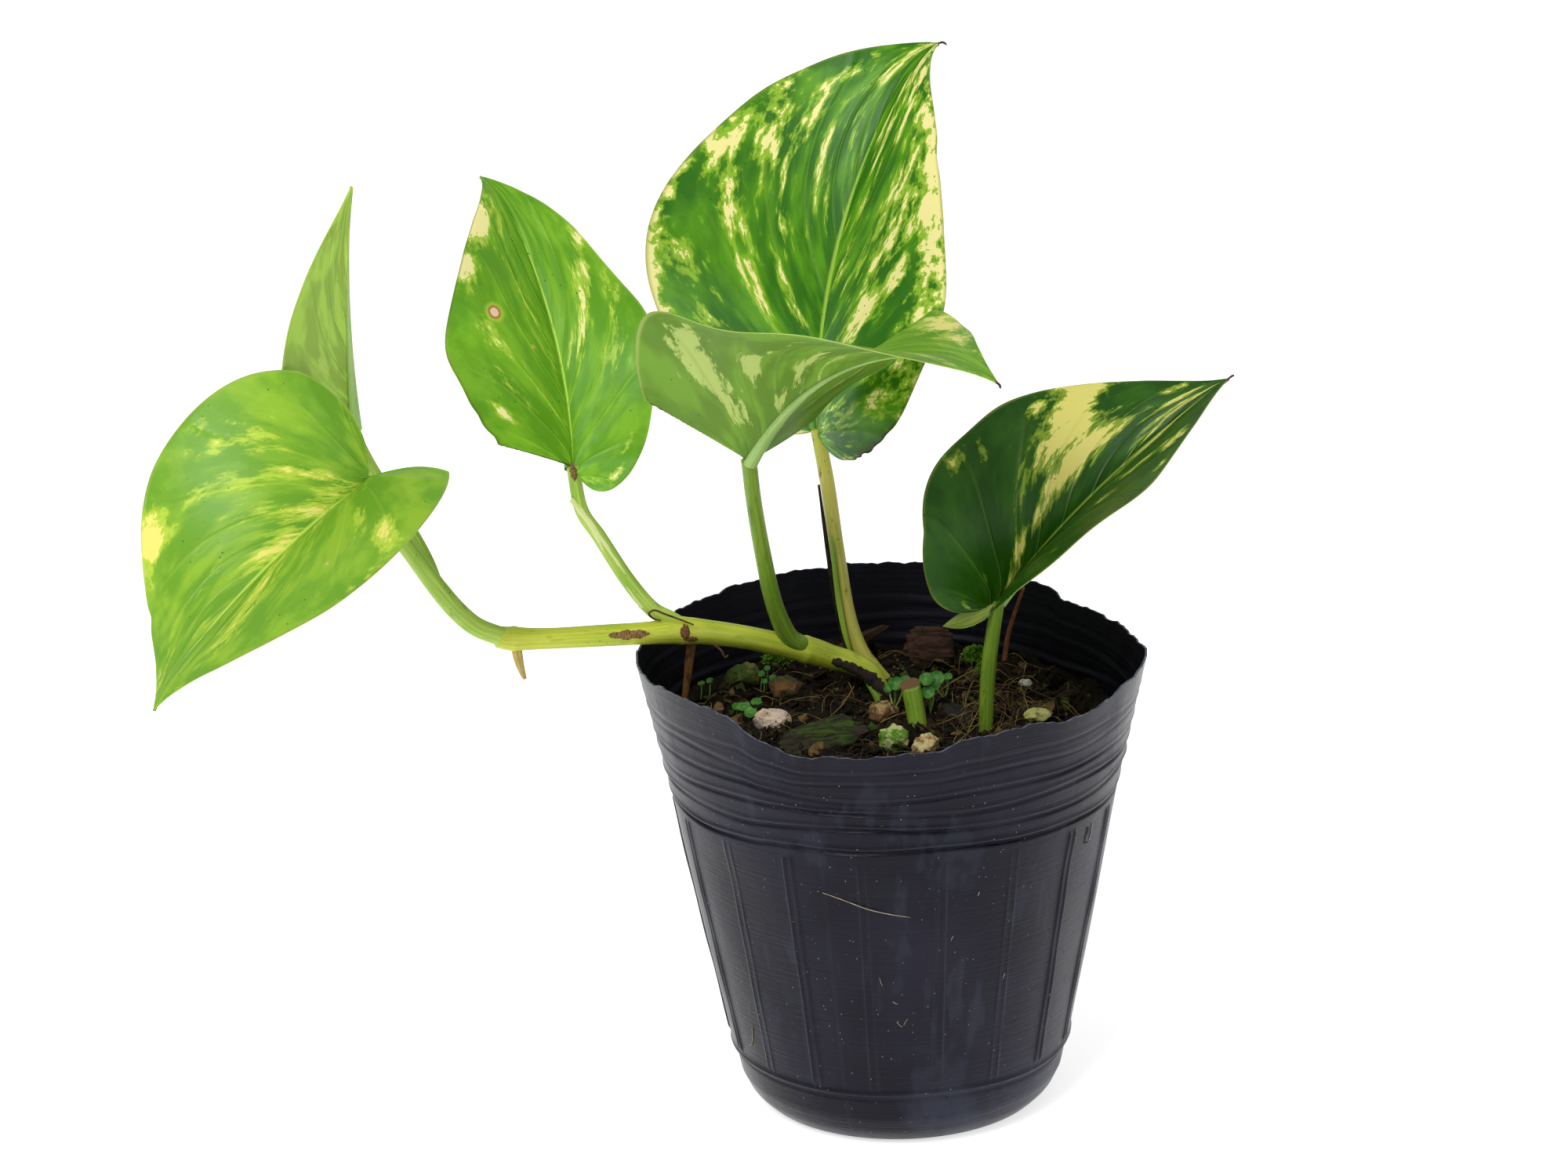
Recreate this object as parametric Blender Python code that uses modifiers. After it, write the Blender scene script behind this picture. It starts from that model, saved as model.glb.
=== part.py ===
"""Potted pothos: a trailing vine with six leaves in a thin black nursery pot.

The origin is the middle of the pot's underside, +Z is up, and +X is to the right seen from the front (-Y).
Sizes are named in millimetres, and MM turns them into metres where a mesh or a curve is made. Heights of the
plant are measured from the level of the rim, so it moves with the pot.
"""

from math import cos, pi, radians, sin

import bmesh
import bpy
from mathutils import Euler, Vector, noise

MM = 0.001
GAP = 0.3  # air between pieces that touch

# Pot
RIM_RADIUS = 60.0
POT_HEIGHT = 111.0
FOOT_RADIUS = 31.0  # the flat underside
FOOT_BAND_RADIUS = 40.3
FOOT_BAND_HEIGHT = 14.5
COLLAR_RADIUS = 53.2  # at the lowest groove
COLLAR_DROP = 30.5  # from the rim down to the lowest groove
COLLAR_HEIGHT = POT_HEIGHT - COLLAR_DROP
COLLAR_SLOPE = (RIM_RADIUS - COLLAR_RADIUS) / COLLAR_DROP
WALL = 0.8
GROOVES = ((0.0, 0.7), (5.5, 0.5), (10.5, 0.4), (15.0, 0.3))  # height above the lowest groove, depth
GROOVE_WIDTH = 1.8
LIP_DROP = 9.0  # from the rim down to the first ring of points below it
BODY_ROWS = 5
RIBS = 18
RIB_HEIGHT = 0.5
RIB_SHARE = 0.25  # half a rib's width, as a share of the spacing
POT_SEGMENTS = 72
DRAIN_HOLES = 6
DRAIN_HOLE_RADIUS = 3.5
DRAIN_RING_RADIUS = 21.0
# Where the hand-cut rim rises and dips: degrees from +X, millimetres from POT_HEIGHT.
RIM_CUT = (
    (-180, 1.0), (-165, 1.8), (-148, 3.2), (-130, 2.4), (-123, -2.5), (-113, -5.4), (-98, -4.8), (-85, -3.8),
    (-72, -1.0), (-62, -0.4), (-45, -2.0), (-25, 0.2), (-8, 0.0), (8, -1.8), (30, -1.6), (42, -1.3), (46, 1.0),
    (60, 2.0), (92, 3.8), (115, 3.4), (138, 2.2), (158, 0.8), (180, 1.0),
)

# Soil
SOIL_DEPTH = 19.0  # from the rim down to the middle of the soil
SOIL_TOP = POT_HEIGHT - SOIL_DEPTH
SOIL_RISE = 0.07  # slope up towards the back

# Leaves
LEAF_THICKNESS = 0.8
LEAF_ROWS = 22
LEAF_COLUMNS = 4
MIDRIB_STEPS = 40
# Half a leaf laid flat: along the midrib in leaf lengths, out from it in half widths.
LEAF_OUTLINE = (
    (0.0, 0.0), (-0.05, 0.10), (-0.085, 0.26), (-0.085, 0.46), (-0.03, 0.70), (0.09, 0.91), (0.24, 1.0),
    (0.40, 0.975), (0.55, 0.85), (0.69, 0.64), (0.80, 0.42), (0.885, 0.22), (0.945, 0.09), (1.0, 0.0),
)
# Each leaf: where its midrib starts; heading, climb and roll of the midrib; length; then left and right half
# width, fold at the base and at the tip, cupping and lobe size; then curl, sweep and twist along the length,
# extra curl at the tip; then the wave of the edge: height, number, start. Millimetres and degrees, with the
# base's height from the rim.
LEAVES = {
    "leaf_rear": dict(
        base=(-15.5, 38, 45), aim=(55, 88, -11), length=102, width=(51, 41), fold=((-7, 48), (30, 8)),
        cup=(13, -38), lobe=(0.4, 0.43), bend=(-44, 3, -6, -31), wave=(-1.5, 2.1, -0.04),
    ),
    "leaf_front": dict(
        base=(-32, 0, 49), aim=(-46, 54, -25), length=93, width=(34, 38), fold=((34, -19), (37, 24)),
        cup=(0, 0), lobe=(-0.24, -0.22), bend=(-61, -9, 48, -43), wave=(-2.9, 2.0, -0.25),
    ),
    "leaf_left": dict(
        base=(-73.5, 8, 46.5), aim=(92, 47, 19), length=85, width=(31, 22), fold=((24, 13), (39, 22)),
        cup=(-19, -7), lobe=(-0.2, 1.04), bend=(-8, -25, 10, -37), wave=(2.6, 2.0, 0.03),
    ),
    "leaf_drooping": dict(
        base=(-120, -12, 51), aim=(234, -14, -22), length=78, width=(35, 39), fold=((45, 7), (43, -15)),
        cup=(-24, -8), lobe=(0.28, 0.88), bend=(-36, 10, 28, -16), wave=(0.5, 1.8, -0.16),
    ),
    "leaf_upright": dict(
        base=(-126, 18, 55), aim=(-87, 69, 60), length=71, width=(26, 22), fold=((33, 25), (11, 19)),
        cup=(0, 0), lobe=(0.5, 0.5), bend=(-9, 1, 2, -3), wave=(-0.2, 2.0, 0.0),
    ),
    "leaf_right": dict(
        base=(25.5, -2, 13), aim=(32, 41, 31), length=77, width=(33, 33), fold=((55, 11), (68, 26)),
        cup=(-30, -10), lobe=(1.5, 0.8), bend=(1, 18, -21, -5), wave=(1.2, 2.05, 0.14),
    ),
}

# Stems and stalks: the points that each follows, as (x, y, height from the rim, thickness there).
LEAF_JOINT_GAP = 1.3  # a stalk stops this far from its blade
STALKS = {
    "vine_stem": (
        (-4, 25, -14, 5), (-9, 25, -10.5, 5.4), (-14, 24, -8.5, 6), (-19.5, 21, -5.5, 6.6),
        (-25.5, 18, -3, 5.8), (-34.5, 13, 1, 5.6), (-44, 9, 4, 6), (-49.5, 7, 5.2, 6.4),
        (-57.5, 4, 5.9, 5.4), (-68, 2, 6.3, 5.2), (-81, 0, 6.7, 5), (-89, -2, 7.6, 5.6),
        (-92.5, -3.3, 8.6, 5.2),
    ),
    "petiole_rear": (
        (-4, 32, -14, 4.4), (-7.2, 32, -8.5, 4.2), (-9.7, 32.5, 0.5, 4), (-11.7, 34, 16, 3.8),
        (-13.4, 36, 31.5, 3.7), (-15.5, 38, 45, 3.4),
    ),
    "petiole_front": (
        (-20, 20.7, -5, 4.4), (-21.8, 19, -3, 5), (-24.5, 16.5, 0.5, 4.8), (-27.5, 12, 10.5, 4.3),
        (-29.7, 7, 25, 4), (-31.2, 3, 38, 3.8), (-32, 0, 49, 3.8),
    ),
    "petiole_left": (
        (-46.5, 8.2, 4.6, 3.4), (-52, 8, 7.9, 4.2), (-56.6, 8, 11, 4), (-62, 8, 18.4, 3.8),
        (-68, 8, 29, 3.6), (-72, 8, 36, 3.4), (-73.5, 8, 46.5, 3.2),
    ),
    "petiole_drooping": (
        (-90.5, -2.5, 8, 4.8), (-97, -5, 11.8, 4.8), (-101.3, -6.3, 16.2, 4.9), (-105.4, -8, 22.4, 4.8),
        (-110.4, -9, 30.6, 4.4), (-115.3, -10, 38.7, 4), (-118.4, -11, 45.8, 3.6), (-120, -12, 51, 3.4),
    ),
    "petiole_upright": (
        (-105.2, -7.6, 22, 2.2), (-106.3, -4.2, 23.6, 2.8), (-108.2, -0.5, 27, 3.1),
        (-111.3, 3.6, 31.8, 3.2), (-116.6, 9.5, 39, 3.2), (-122, 15, 47, 3), (-126, 18, 55, 2.8),
    ),
    "petiole_right": (
        (22.2, 0, -18.5, 3.5), (22.5, 0, -11.5, 3.6), (23.1, 0, -4, 3.6), (24, -0.5, 3, 3.5),
        (25.5, -2, 13, 3.2),
    ),
    "cut_stub": ((5.9, 2.2, -19, 4.7), (5.3, 3, -14, 4.6), (4.4, 4, -9, 4.8)),
    "side_shoot": ((-2.8, 19.5, -17.8, 2.4), (-5, 20.5, -14.4, 1.6)),
    "aerial_root_outer": (
        (-88.4, -1.8, 7, 2.4), (-88.2, -2, 3.5, 2.4), (-87.6, -2.4, 0.5, 1.8), (-86.8, -2.8, -2, 1),
    ),
    "aerial_root_inner": (
        (-46.8, 8, 4, 2.2), (-47.8, 8, -1.5, 2.2), (-48.6, 8, -7, 1.8), (-49.6, 8, -13, 1.3),
    ),
    "dry_strand": ((28.8, 36, -14, 1.3), (30, 36, -7, 1.1), (33.5, 35, 4, 0.8)),
}
# A planted stalk starts in the soil: (x, y, height from the level of the soil, thickness).
FEET = {
    "vine_stem": (-1, 24, -3, 4.5),
    "petiole_rear": (2, 32, -3, 4.6),
    "petiole_right": (22, 0.5, -6, 3.4),
    "cut_stub": (6.2, 2, -6, 5),
    "side_shoot": (-1.2, 18.5, -4, 2.6),
    "dry_strand": (28.2, 36, -2, 1.3),
}
# Each stalk that grows from another one, or passes close behind it, is cut back from it by GAP.
GROWS_FROM = {
    "petiole_rear": ("vine_stem",),
    "petiole_front": ("vine_stem",),
    "petiole_left": ("vine_stem",),
    "petiole_drooping": ("vine_stem",),
    "petiole_upright": ("petiole_drooping",),
    "aerial_root_outer": ("vine_stem",),
    "aerial_root_inner": ("vine_stem",),
}
BLADE_OF = {name: name.replace("petiole", "leaf") for name in STALKS if name.startswith("petiole")}

# Dried sheaths: flat strips along a stalk. Points with their height from the rim, width and thickness.
SHEATH_STEPS = 10
SHEATHS = {
    "sheath_rear": (((-10.2, 29.3, -8), (-12, 29.6, 1), (-13.8, 31.2, 17), (-15.2, 33.2, 31.5)), 1.8, 0.6),
    "sheath_left": (((-58.5, 4.8, 13.5), (-62.8, 4.8, 21), (-68.2, 4.8, 30.5), (-72.2, 4.6, 37.5)), 2.6, 0.6),
    "stem_sheath": (((-9, 19.6, -9), (-5, 19.2, -11.8), (-1.5, 17, -14.6), (1.5, 15, -16.4)), 3.4, 0.9),
    "node_sheath": (((-49.5, 3.2, 8.4), (-46, 4.0, 6.6), (-43, 4.9, 4), (-40.4, 6.4, 1)), 2.8, 0.7),
}

SMALL_LUMP = 2.5  # a lump with no half size above this is made with fewer faces
# Stones: place of the middle above the soil (x, y, lift), half sizes, turn, roughness of the shape, seed.
STONES = {
    "stone_pink": ((-29, 5, 1.2), (5.2, 4.2, 3.4), 10, 0.14, 1),
    "stone_mossy": ((-35, 30, 1.8), (5.0, 4.2, 3.6), -20, 0.26, 2),
    "stone_orange": ((-25, 25, 1.4), (4.6, 4.0, 3.4), 30, 0.30, 3),
    "stone_knobbly": ((-2.5, 6, 1.6), (4.3, 3.6, 3.2), 0, 0.34, 4),
    "stone_lime_green": ((-0.5, -10, 1.6), (4.4, 3.4, 4.0), 15, 0.30, 5),
    "stone_lime_tan": ((7.4, -12.5, 1.2), (3.4, 3.0, 3.6), -10, 0.26, 6),
    "stone_flat": ((2.5, -20.5, 0.8), (5.2, 3.2, 1.8), 5, 0.14, 7),
    "stone_yellow": ((34.5, 1, 0.6), (4.0, 3.0, 2.2), 12, 0.16, 8),
    "stone_white": ((33, 24, 0.8), (1.8, 1.5, 1.5), 0, 0.18, 9),
}
# Bark: middle (x, y, lift), half sizes, tilt about X, Y and Z, roughness, seed.
BARK = {
    "bark_slab": ((-17, -6, 1.4), (11.5, 6.0, 1.5), (14, -8, 18), 0.22, 21),
    "bark_red": ((11, 42, 4.6), (6.2, 2.2, 5.2), (-24, 6, 4), 0.20, 22),
    "bark_chip": ((16.5, 7.5, 1.2), (4.6, 3.0, 1.2), (12, 18, -25), 0.24, 23),
    "bark_stick": ((-8, 45.5, 3.2), (9.5, 1.5, 1.3), (0, -24, 6), 0.16, 24),
}
MOSS = {
    "moss_right": ((24.0, 32.5, 0.6), (2.0, 2.0, 2.2), 0, 0.30, 31),
    "moss_back": ((22, 41.5, 0.8), (3.4, 2.6, 2.6), 0, 0.34, 32),
    "moss_left": ((-27, 40, 0.6), (3.6, 2.8, 2.4), 0, 0.34, 33),
}
# Seedlings: foot (x, y), height, radius of the round leaf.
SEEDLING_SEGMENTS = 10
SEEDLINGS = {
    "seedling_left": ((0.4, 12.4), 7.4, 2.3),
    "seedling_middle": ((9.2, 8.6), 8.6, 2.5),
    "seedling_right": ((13.0, 15.5), 7.0, 2.1),
}

MATERIALS = {
    # name: colour, roughness
    "pot_plastic": ((0.012, 0.013, 0.018, 1), 0.38),
    "soil": ((0.020, 0.013, 0.008, 1), 0.95),
    "stem": ((0.30, 0.42, 0.08, 1), 0.45),
    "leaf_green": ((0.09, 0.30, 0.03, 1), 0.38),
    "leaf_pale": ((0.30, 0.45, 0.12, 1), 0.42),
    "dry_sheath": ((0.13, 0.075, 0.035, 1), 0.80),
    "aerial_root": ((0.32, 0.19, 0.07, 1), 0.75),
    "stone": ((0.42, 0.36, 0.22, 1), 0.85),
    "bark": ((0.055, 0.030, 0.018, 1), 0.90),
    "moss": ((0.06, 0.13, 0.015, 1), 0.95),
    "seedling": ((0.14, 0.36, 0.06, 1), 0.50),
}


def clear_scene():
    for obj in list(bpy.data.objects):
        bpy.data.objects.remove(obj, do_unlink=True)


def new_collection(name, hidden=False):
    collection = bpy.data.collections.new(name)
    bpy.context.scene.collection.children.link(collection)
    collection.hide_render = hidden
    return collection


def new_material(name):
    colour, roughness = MATERIALS[name]
    material = bpy.data.materials.new(name)
    material.use_nodes = True
    shader = material.node_tree.nodes["Principled BSDF"]
    shader.inputs["Base Color"].default_value = colour
    shader.inputs["Roughness"].default_value = roughness
    shader.inputs["Metallic"].default_value = 0.0
    material.diffuse_color = colour
    return material


def add_object(name, data, collection, material=None):
    obj = bpy.data.objects.new(name, data)
    collection.objects.link(obj)
    if material:
        data.materials.append(bpy.data.materials[material])
    return obj


def add_cutter(name, mesh, cutters):
    cutter = add_object(name, mesh, cutters)
    cutter.display_type = "WIRE"
    cutter.hide_render = True
    return cutter


def cut_back(obj, cutter):
    cut = obj.modifiers.new("Clear of " + cutter.name, "BOOLEAN")
    cut.object = cutter


def mesh_from(bm, name):
    bmesh.ops.recalc_face_normals(bm, faces=bm.faces)
    mesh = bpy.data.meshes.new(name)
    bm.to_mesh(mesh)
    bm.free()
    mesh.shade_smooth()
    mesh.set_sharp_from_angle(angle=radians(50))
    return mesh


def between(table, x, eased=False):
    """The value at x of a table of (x, value) pairs, on a straight or an eased line between neighbours."""
    for (x0, y0), (x1, y1) in zip(table, table[1:]):
        if x <= x1:
            t = min(max((x - x0) / (x1 - x0), 0.0), 1.0)
            return y0 + (y1 - y0) * (t * t * (3 - 2 * t) if eased else t)
    return table[-1][1]


def spline(points, count):
    """count points on the smooth curve through the given points; each may hold more numbers than a place."""
    first = [2 * a - b for a, b in zip(points[0], points[1])]
    last = [2 * a - b for a, b in zip(points[-1], points[-2])]
    padded = [first, *points, last]
    found = []
    for i in range(count):
        place = i * (len(points) - 1) / (count - 1)
        k = min(int(place), len(points) - 2)
        t = place - k
        corners = padded[k:k + 4]
        found.append(tuple(
            0.5 * (2 * b + (c - a) * t + (2 * a - 5 * b + 4 * c - d) * t * t + (3 * b - a - 3 * c + d) * t**3)
            for a, b, c, d in zip(*corners)
        ))
    return found


# Pot and soil

def collar(height):
    """Radius of the pot's outer side at a height above the lowest groove."""
    return COLLAR_RADIUS + COLLAR_SLOPE * (height - COLLAR_HEIGHT)


def wall_profile():
    """Outer side of the pot as (radius, height), from the rim down to the middle of the underside."""
    points = [(RIM_RADIUS, POT_HEIGHT), (collar(POT_HEIGHT - LIP_DROP), POT_HEIGHT - LIP_DROP)]
    for above, depth in sorted(GROOVES, reverse=True):
        height = COLLAR_HEIGHT + above
        points.append((collar(height) + 0.1, height + GROOVE_WIDTH / 2))
        points.append((collar(height) - depth, height))
    points.append((COLLAR_RADIUS - 0.3, COLLAR_HEIGHT - GROOVE_WIDTH / 2))
    body_top, body_foot = COLLAR_HEIGHT - 5, FOOT_BAND_HEIGHT + 4
    for i in range(BODY_ROWS):
        height = body_top + (body_foot - body_top) * i / (BODY_ROWS - 1)
        share = (height - FOOT_BAND_HEIGHT) / (COLLAR_HEIGHT - FOOT_BAND_HEIGHT)
        points.append((FOOT_BAND_RADIUS + 0.8 + (COLLAR_RADIUS - FOOT_BAND_RADIUS - 1.2) * share, height))
    points.append((FOOT_BAND_RADIUS + 0.4, FOOT_BAND_HEIGHT + 1))
    points.append((FOOT_BAND_RADIUS - 0.2, FOOT_BAND_HEIGHT - 1))
    foot_drop = FOOT_BAND_HEIGHT - 1
    foot_in = FOOT_BAND_RADIUS - 0.2 - FOOT_RADIUS
    for angle in (30, 55, 75):
        radius = FOOT_RADIUS + foot_in * cos(radians(angle)) ** 0.7
        points.append((radius, foot_drop * (1 - sin(radians(angle)))))
    points += [(FOOT_RADIUS, 0.0), (FOOT_RADIUS * 0.5, 0.0), (0.0, 0.0)]
    return points


def rim_lift(angle):
    return between(RIM_CUT, angle, eased=True)


def dent(angle, height):
    """How far the soft wall is pressed out or in there, in millimetres."""
    share = height / POT_HEIGHT
    return share * (0.7 * cos(2 * angle + 0.4) + 0.35 * cos(3 * angle - 1.1)) * (1 - 0.3 * share)


def shape_wall(point):
    """A point of the turned pot moved to where the ribs, the dents and the cut rim put it, in millimetres."""
    x, y, z = point
    angle = Vector((x, y)).angle_signed(Vector((1, 0))) if x or y else 0.0
    radius = Vector((x, y)).length
    if radius <= FOOT_RADIUS * 1.001:
        return point
    turn = (angle + pi / 2) / (2 * pi) * RIBS + 0.5
    nearness = max(0.0, 1 - abs(turn - round(turn)) / RIB_SHARE)
    ribbed = FOOT_BAND_HEIGHT + 2 < z < COLLAR_HEIGHT - GROOVE_WIDTH
    radius += (RIB_HEIGHT * nearness if ribbed else 0.0) + dent(angle, z)
    above_collar = max(0.0, z - COLLAR_HEIGHT) / COLLAR_DROP
    lift = rim_lift(angle * 180 / pi) * above_collar**2
    radius += COLLAR_SLOPE * lift
    return radius * cos(angle), radius * sin(angle), z + lift


def turned_mesh(name, profile, segments):
    """The skin made by turning (radius, height) points, listed from the top down, about the upright axis."""
    line = bpy.data.meshes.new(name)
    points = [(r * MM, 0, z * MM) for r, z in profile]
    line.from_pydata(points, [(i, i + 1) for i in range(len(points) - 1)], [])
    guide = bpy.data.objects.new(name, line)
    bpy.context.scene.collection.objects.link(guide)
    screw = guide.modifiers.new("Turn", "SCREW")
    screw.steps = screw.render_steps = segments
    screw.use_merge_vertices = True
    screw.merge_threshold = 0.00001
    graph = bpy.context.evaluated_depsgraph_get()
    turned = bpy.data.meshes.new_from_object(guide.evaluated_get(graph))
    bpy.data.objects.remove(guide)
    bpy.data.meshes.remove(line)
    turned.shade_smooth()
    return turned


def make_pot(parts, cutters):
    turned = turned_mesh("pot", wall_profile(), POT_SEGMENTS)
    for vertex in turned.vertices:
        moved = shape_wall([c / MM for c in vertex.co])
        vertex.co = [c * MM for c in moved]
    pot = add_object("pot", turned, parts, "pot_plastic")
    shell = pot.modifiers.new("Wall", "SOLIDIFY")
    shell.thickness = WALL * MM
    shell.offset = -1
    for i in range(DRAIN_HOLES):
        angle = 2 * pi * (i + 0.5) / DRAIN_HOLES
        bm = bmesh.new()
        bmesh.ops.create_cone(
            bm, cap_ends=True, segments=16, radius1=DRAIN_HOLE_RADIUS * MM, radius2=DRAIN_HOLE_RADIUS * MM,
            depth=6 * WALL * MM,
        )
        hole = add_cutter(f"drain_cutter_{i + 1}", mesh_from(bm, "drain_cutter"), cutters)
        hole.location = [DRAIN_RING_RADIUS * cos(angle) * MM, DRAIN_RING_RADIUS * sin(angle) * MM, 0]
        cut_back(pot, hole)
    return pot


def soil_height(x, y):
    """Height of the top of the soil at a place, in millimetres."""
    lumps = 1.1 * sin(0.21 * x + 1.3) * cos(0.17 * y) + 0.6 * sin(0.43 * x - 0.31 * y)
    return SOIL_TOP + SOIL_RISE * y + lumps


def inner_radius(angle, height):
    """Inner side of the pot wall, clear of ribs and grooves."""
    walls = [(z, r) for r, z in reversed(wall_profile()) if z > 0]
    return between(walls, height) - max(d for _, d in GROOVES) - WALL - GAP + dent(angle, height)


def soil_edge(angle):
    """Radius and height at which the top of the soil meets the wall."""
    radius = COLLAR_RADIUS
    for _ in range(4):
        height = soil_height(radius * cos(angle), radius * sin(angle))
        radius = inner_radius(angle, height)
    return radius, height


def make_soil(parts):
    """A plug of soil: rings up the wall at each of its bends, then rings inwards over the lumpy top."""
    segments, top_rows = 36, 8
    edges = [soil_edge(2 * pi * i / segments) for i in range(segments)]
    lowest_edge = min(height for _, height in edges)
    bends = sorted(z for _, z in wall_profile() if FOOT_BAND_HEIGHT / 3 < z < lowest_edge - 1)
    side_rows = len(bends) + 1
    bm = bmesh.new()
    rings = []
    for row in range(side_rows + 1):
        ring = []
        for i, edge in enumerate(edges):
            angle = 2 * pi * i / segments
            if row == 0:
                radius, height = FOOT_RADIUS - 2, WALL + GAP
            elif row < side_rows:
                radius, height = inner_radius(angle, bends[row - 1]), bends[row - 1]
            else:
                radius, height = edge
            ring.append(bm.verts.new((radius * cos(angle) * MM, radius * sin(angle) * MM, height * MM)))
        rings.append(ring)
    for row in range(1, top_rows):
        share = 1 - row / top_rows
        ring = []
        for vertex in rings[side_rows]:
            x, y = vertex.co.x / MM * share, vertex.co.y / MM * share
            ring.append(bm.verts.new((x * MM, y * MM, soil_height(x, y) * MM)))
        rings.append(ring)
    for low, high in zip(rings, rings[1:]):
        for i in range(segments):
            j = (i + 1) % segments
            bm.faces.new((low[i], low[j], high[j], high[i]))
    bm.faces.new(reversed(rings[0]))
    middle = bm.verts.new((0, 0, soil_height(0, 0) * MM))
    for i in range(segments):
        bm.faces.new((rings[-1][i], rings[-1][(i + 1) % segments], middle))
    return add_object("soil", mesh_from(bm, "soil"), parts, "soil")


# Leaves

def leaf_frames(leaf):
    """Places along the midrib, each with its forward, rightward and upward directions."""
    heading, climb, roll = (radians(a) for a in leaf["aim"])
    curl, sweep, twist, tip_curl = (radians(a) for a in leaf["bend"])
    forward = Vector((cos(climb) * cos(heading), cos(climb) * sin(heading), sin(climb)))
    up = Vector((-sin(climb) * cos(heading), -sin(climb) * sin(heading), cos(climb)))
    up = up * cos(roll) + forward.cross(up) * sin(roll)
    place = Vector(leaf["base"]) + Vector((0, 0, POT_HEIGHT))
    step = leaf["length"] / MIDRIB_STEPS
    frames = []
    for k in range(MIDRIB_STEPS + 1):
        right = forward.cross(up)
        frames.append((place.copy(), forward.copy(), right, up.copy()))
        place = place + forward * step
        share = (k + 0.5) / MIDRIB_STEPS
        bend = (curl + tip_curl * 8 * max(0.0, share - 0.75) / 0.25) / MIDRIB_STEPS
        ahead = (forward + up * bend + right * sweep / MIDRIB_STEPS).normalized()
        up = up - forward * bend + right * twist / MIDRIB_STEPS
        up = (up - ahead * up.dot(ahead)).normalized()
        forward = ahead
    return frames


def leaf_point(leaf, frames, side, along, out):
    """The place of a point of the flat leaf: side -1 left or 1 right, along in lengths, out in half widths."""
    half = 0 if side < 0 else 1
    if along < 0:
        along *= leaf["lobe"][half]
    share = min(max(along, 0.0), 1.0)
    k = min(int(share * MIDRIB_STEPS), MIDRIB_STEPS - 1)
    t = share * MIDRIB_STEPS - k
    place, forward, right, up = (a.lerp(b, t) for a, b in zip(frames[k], frames[k + 1]))
    place = place + forward * min(along, 0.0) * leaf["length"]
    width = leaf["width"][half]
    at_base, at_tip = leaf["fold"][half]
    fold = radians(at_base + (at_tip - at_base) * share)
    bow = radians(leaf["cup"][half]) / width
    reach = out * width
    if abs(bow) < 1e-6:
        across, rise = reach * cos(fold), reach * sin(fold)
    else:
        across = (sin(fold + bow * reach) - sin(fold)) / bow
        rise = (cos(fold) - cos(fold + bow * reach)) / bow
    height, number, start = leaf["wave"]
    rise += height * sin(2 * pi * (number * share + start + (0.5 if side > 0 else 0))) * out * out
    return place + right * (side * across) + up * rise


def vein_root(s):
    """Where on the midrib, in lengths, the vein that ends at outline share s begins."""
    return 1.0 if s > 0.999 else min(max((s - 0.12) / 0.88, 0.0), 1.0) ** 1.15 * 0.97


def make_leaf(name, parts):
    leaf = LEAVES[name]
    frames = leaf_frames(leaf)
    outline = spline(LEAF_OUTLINE, LEAF_ROWS)
    bm = bmesh.new()
    for side in (-1, 1):
        grid = []
        for i, (edge_along, edge_out) in enumerate(outline):
            root = vein_root(i / (LEAF_ROWS - 1))
            row = []
            for j in range(LEAF_COLUMNS):
                v = j / (LEAF_COLUMNS - 1)
                place = leaf_point(leaf, frames, side, root + (edge_along - root) * v, edge_out * v)
                row.append(bm.verts.new(place * MM))
            grid.append(row)
        for row, after in zip(grid, grid[1:]):
            for j in range(LEAF_COLUMNS - 1):
                corners = (row[j], row[j + 1], after[j + 1], after[j])
                bm.faces.new(corners if side > 0 else reversed(corners))
    bmesh.ops.remove_doubles(bm, verts=bm.verts, dist=0.02 * MM)
    bmesh.ops.dissolve_degenerate(bm, edges=bm.edges, dist=0.01 * MM)
    pale = name == "leaf_upright"
    blade = add_object(name, mesh_from(bm, name), parts, "leaf_pale" if pale else "leaf_green")
    skin = blade.modifiers.new("Thickness", "SOLIDIFY")
    skin.thickness = LEAF_THICKNESS * MM
    skin.offset = 0
    return blade


# Stalks

def stalk_points(name):
    """The stalk's points, from its foot in the soil if it has one, stopped short of any blade."""
    points = [(x, y, height + POT_HEIGHT, thickness) for x, y, height, thickness in STALKS[name]]
    if name in FEET:
        x, y, height, thickness = FEET[name]
        points.insert(0, (x, y, height + SOIL_TOP, thickness))
    if name in BLADE_OF:
        before, end = Vector(points[-2][:3]), Vector(points[-1][:3])
        end = end - (end - before).normalized() * LEAF_JOINT_GAP
        points[-1] = (*end, points[-1][3] * 0.8)
    return spline(points, 2 * len(points) + 2)


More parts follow.
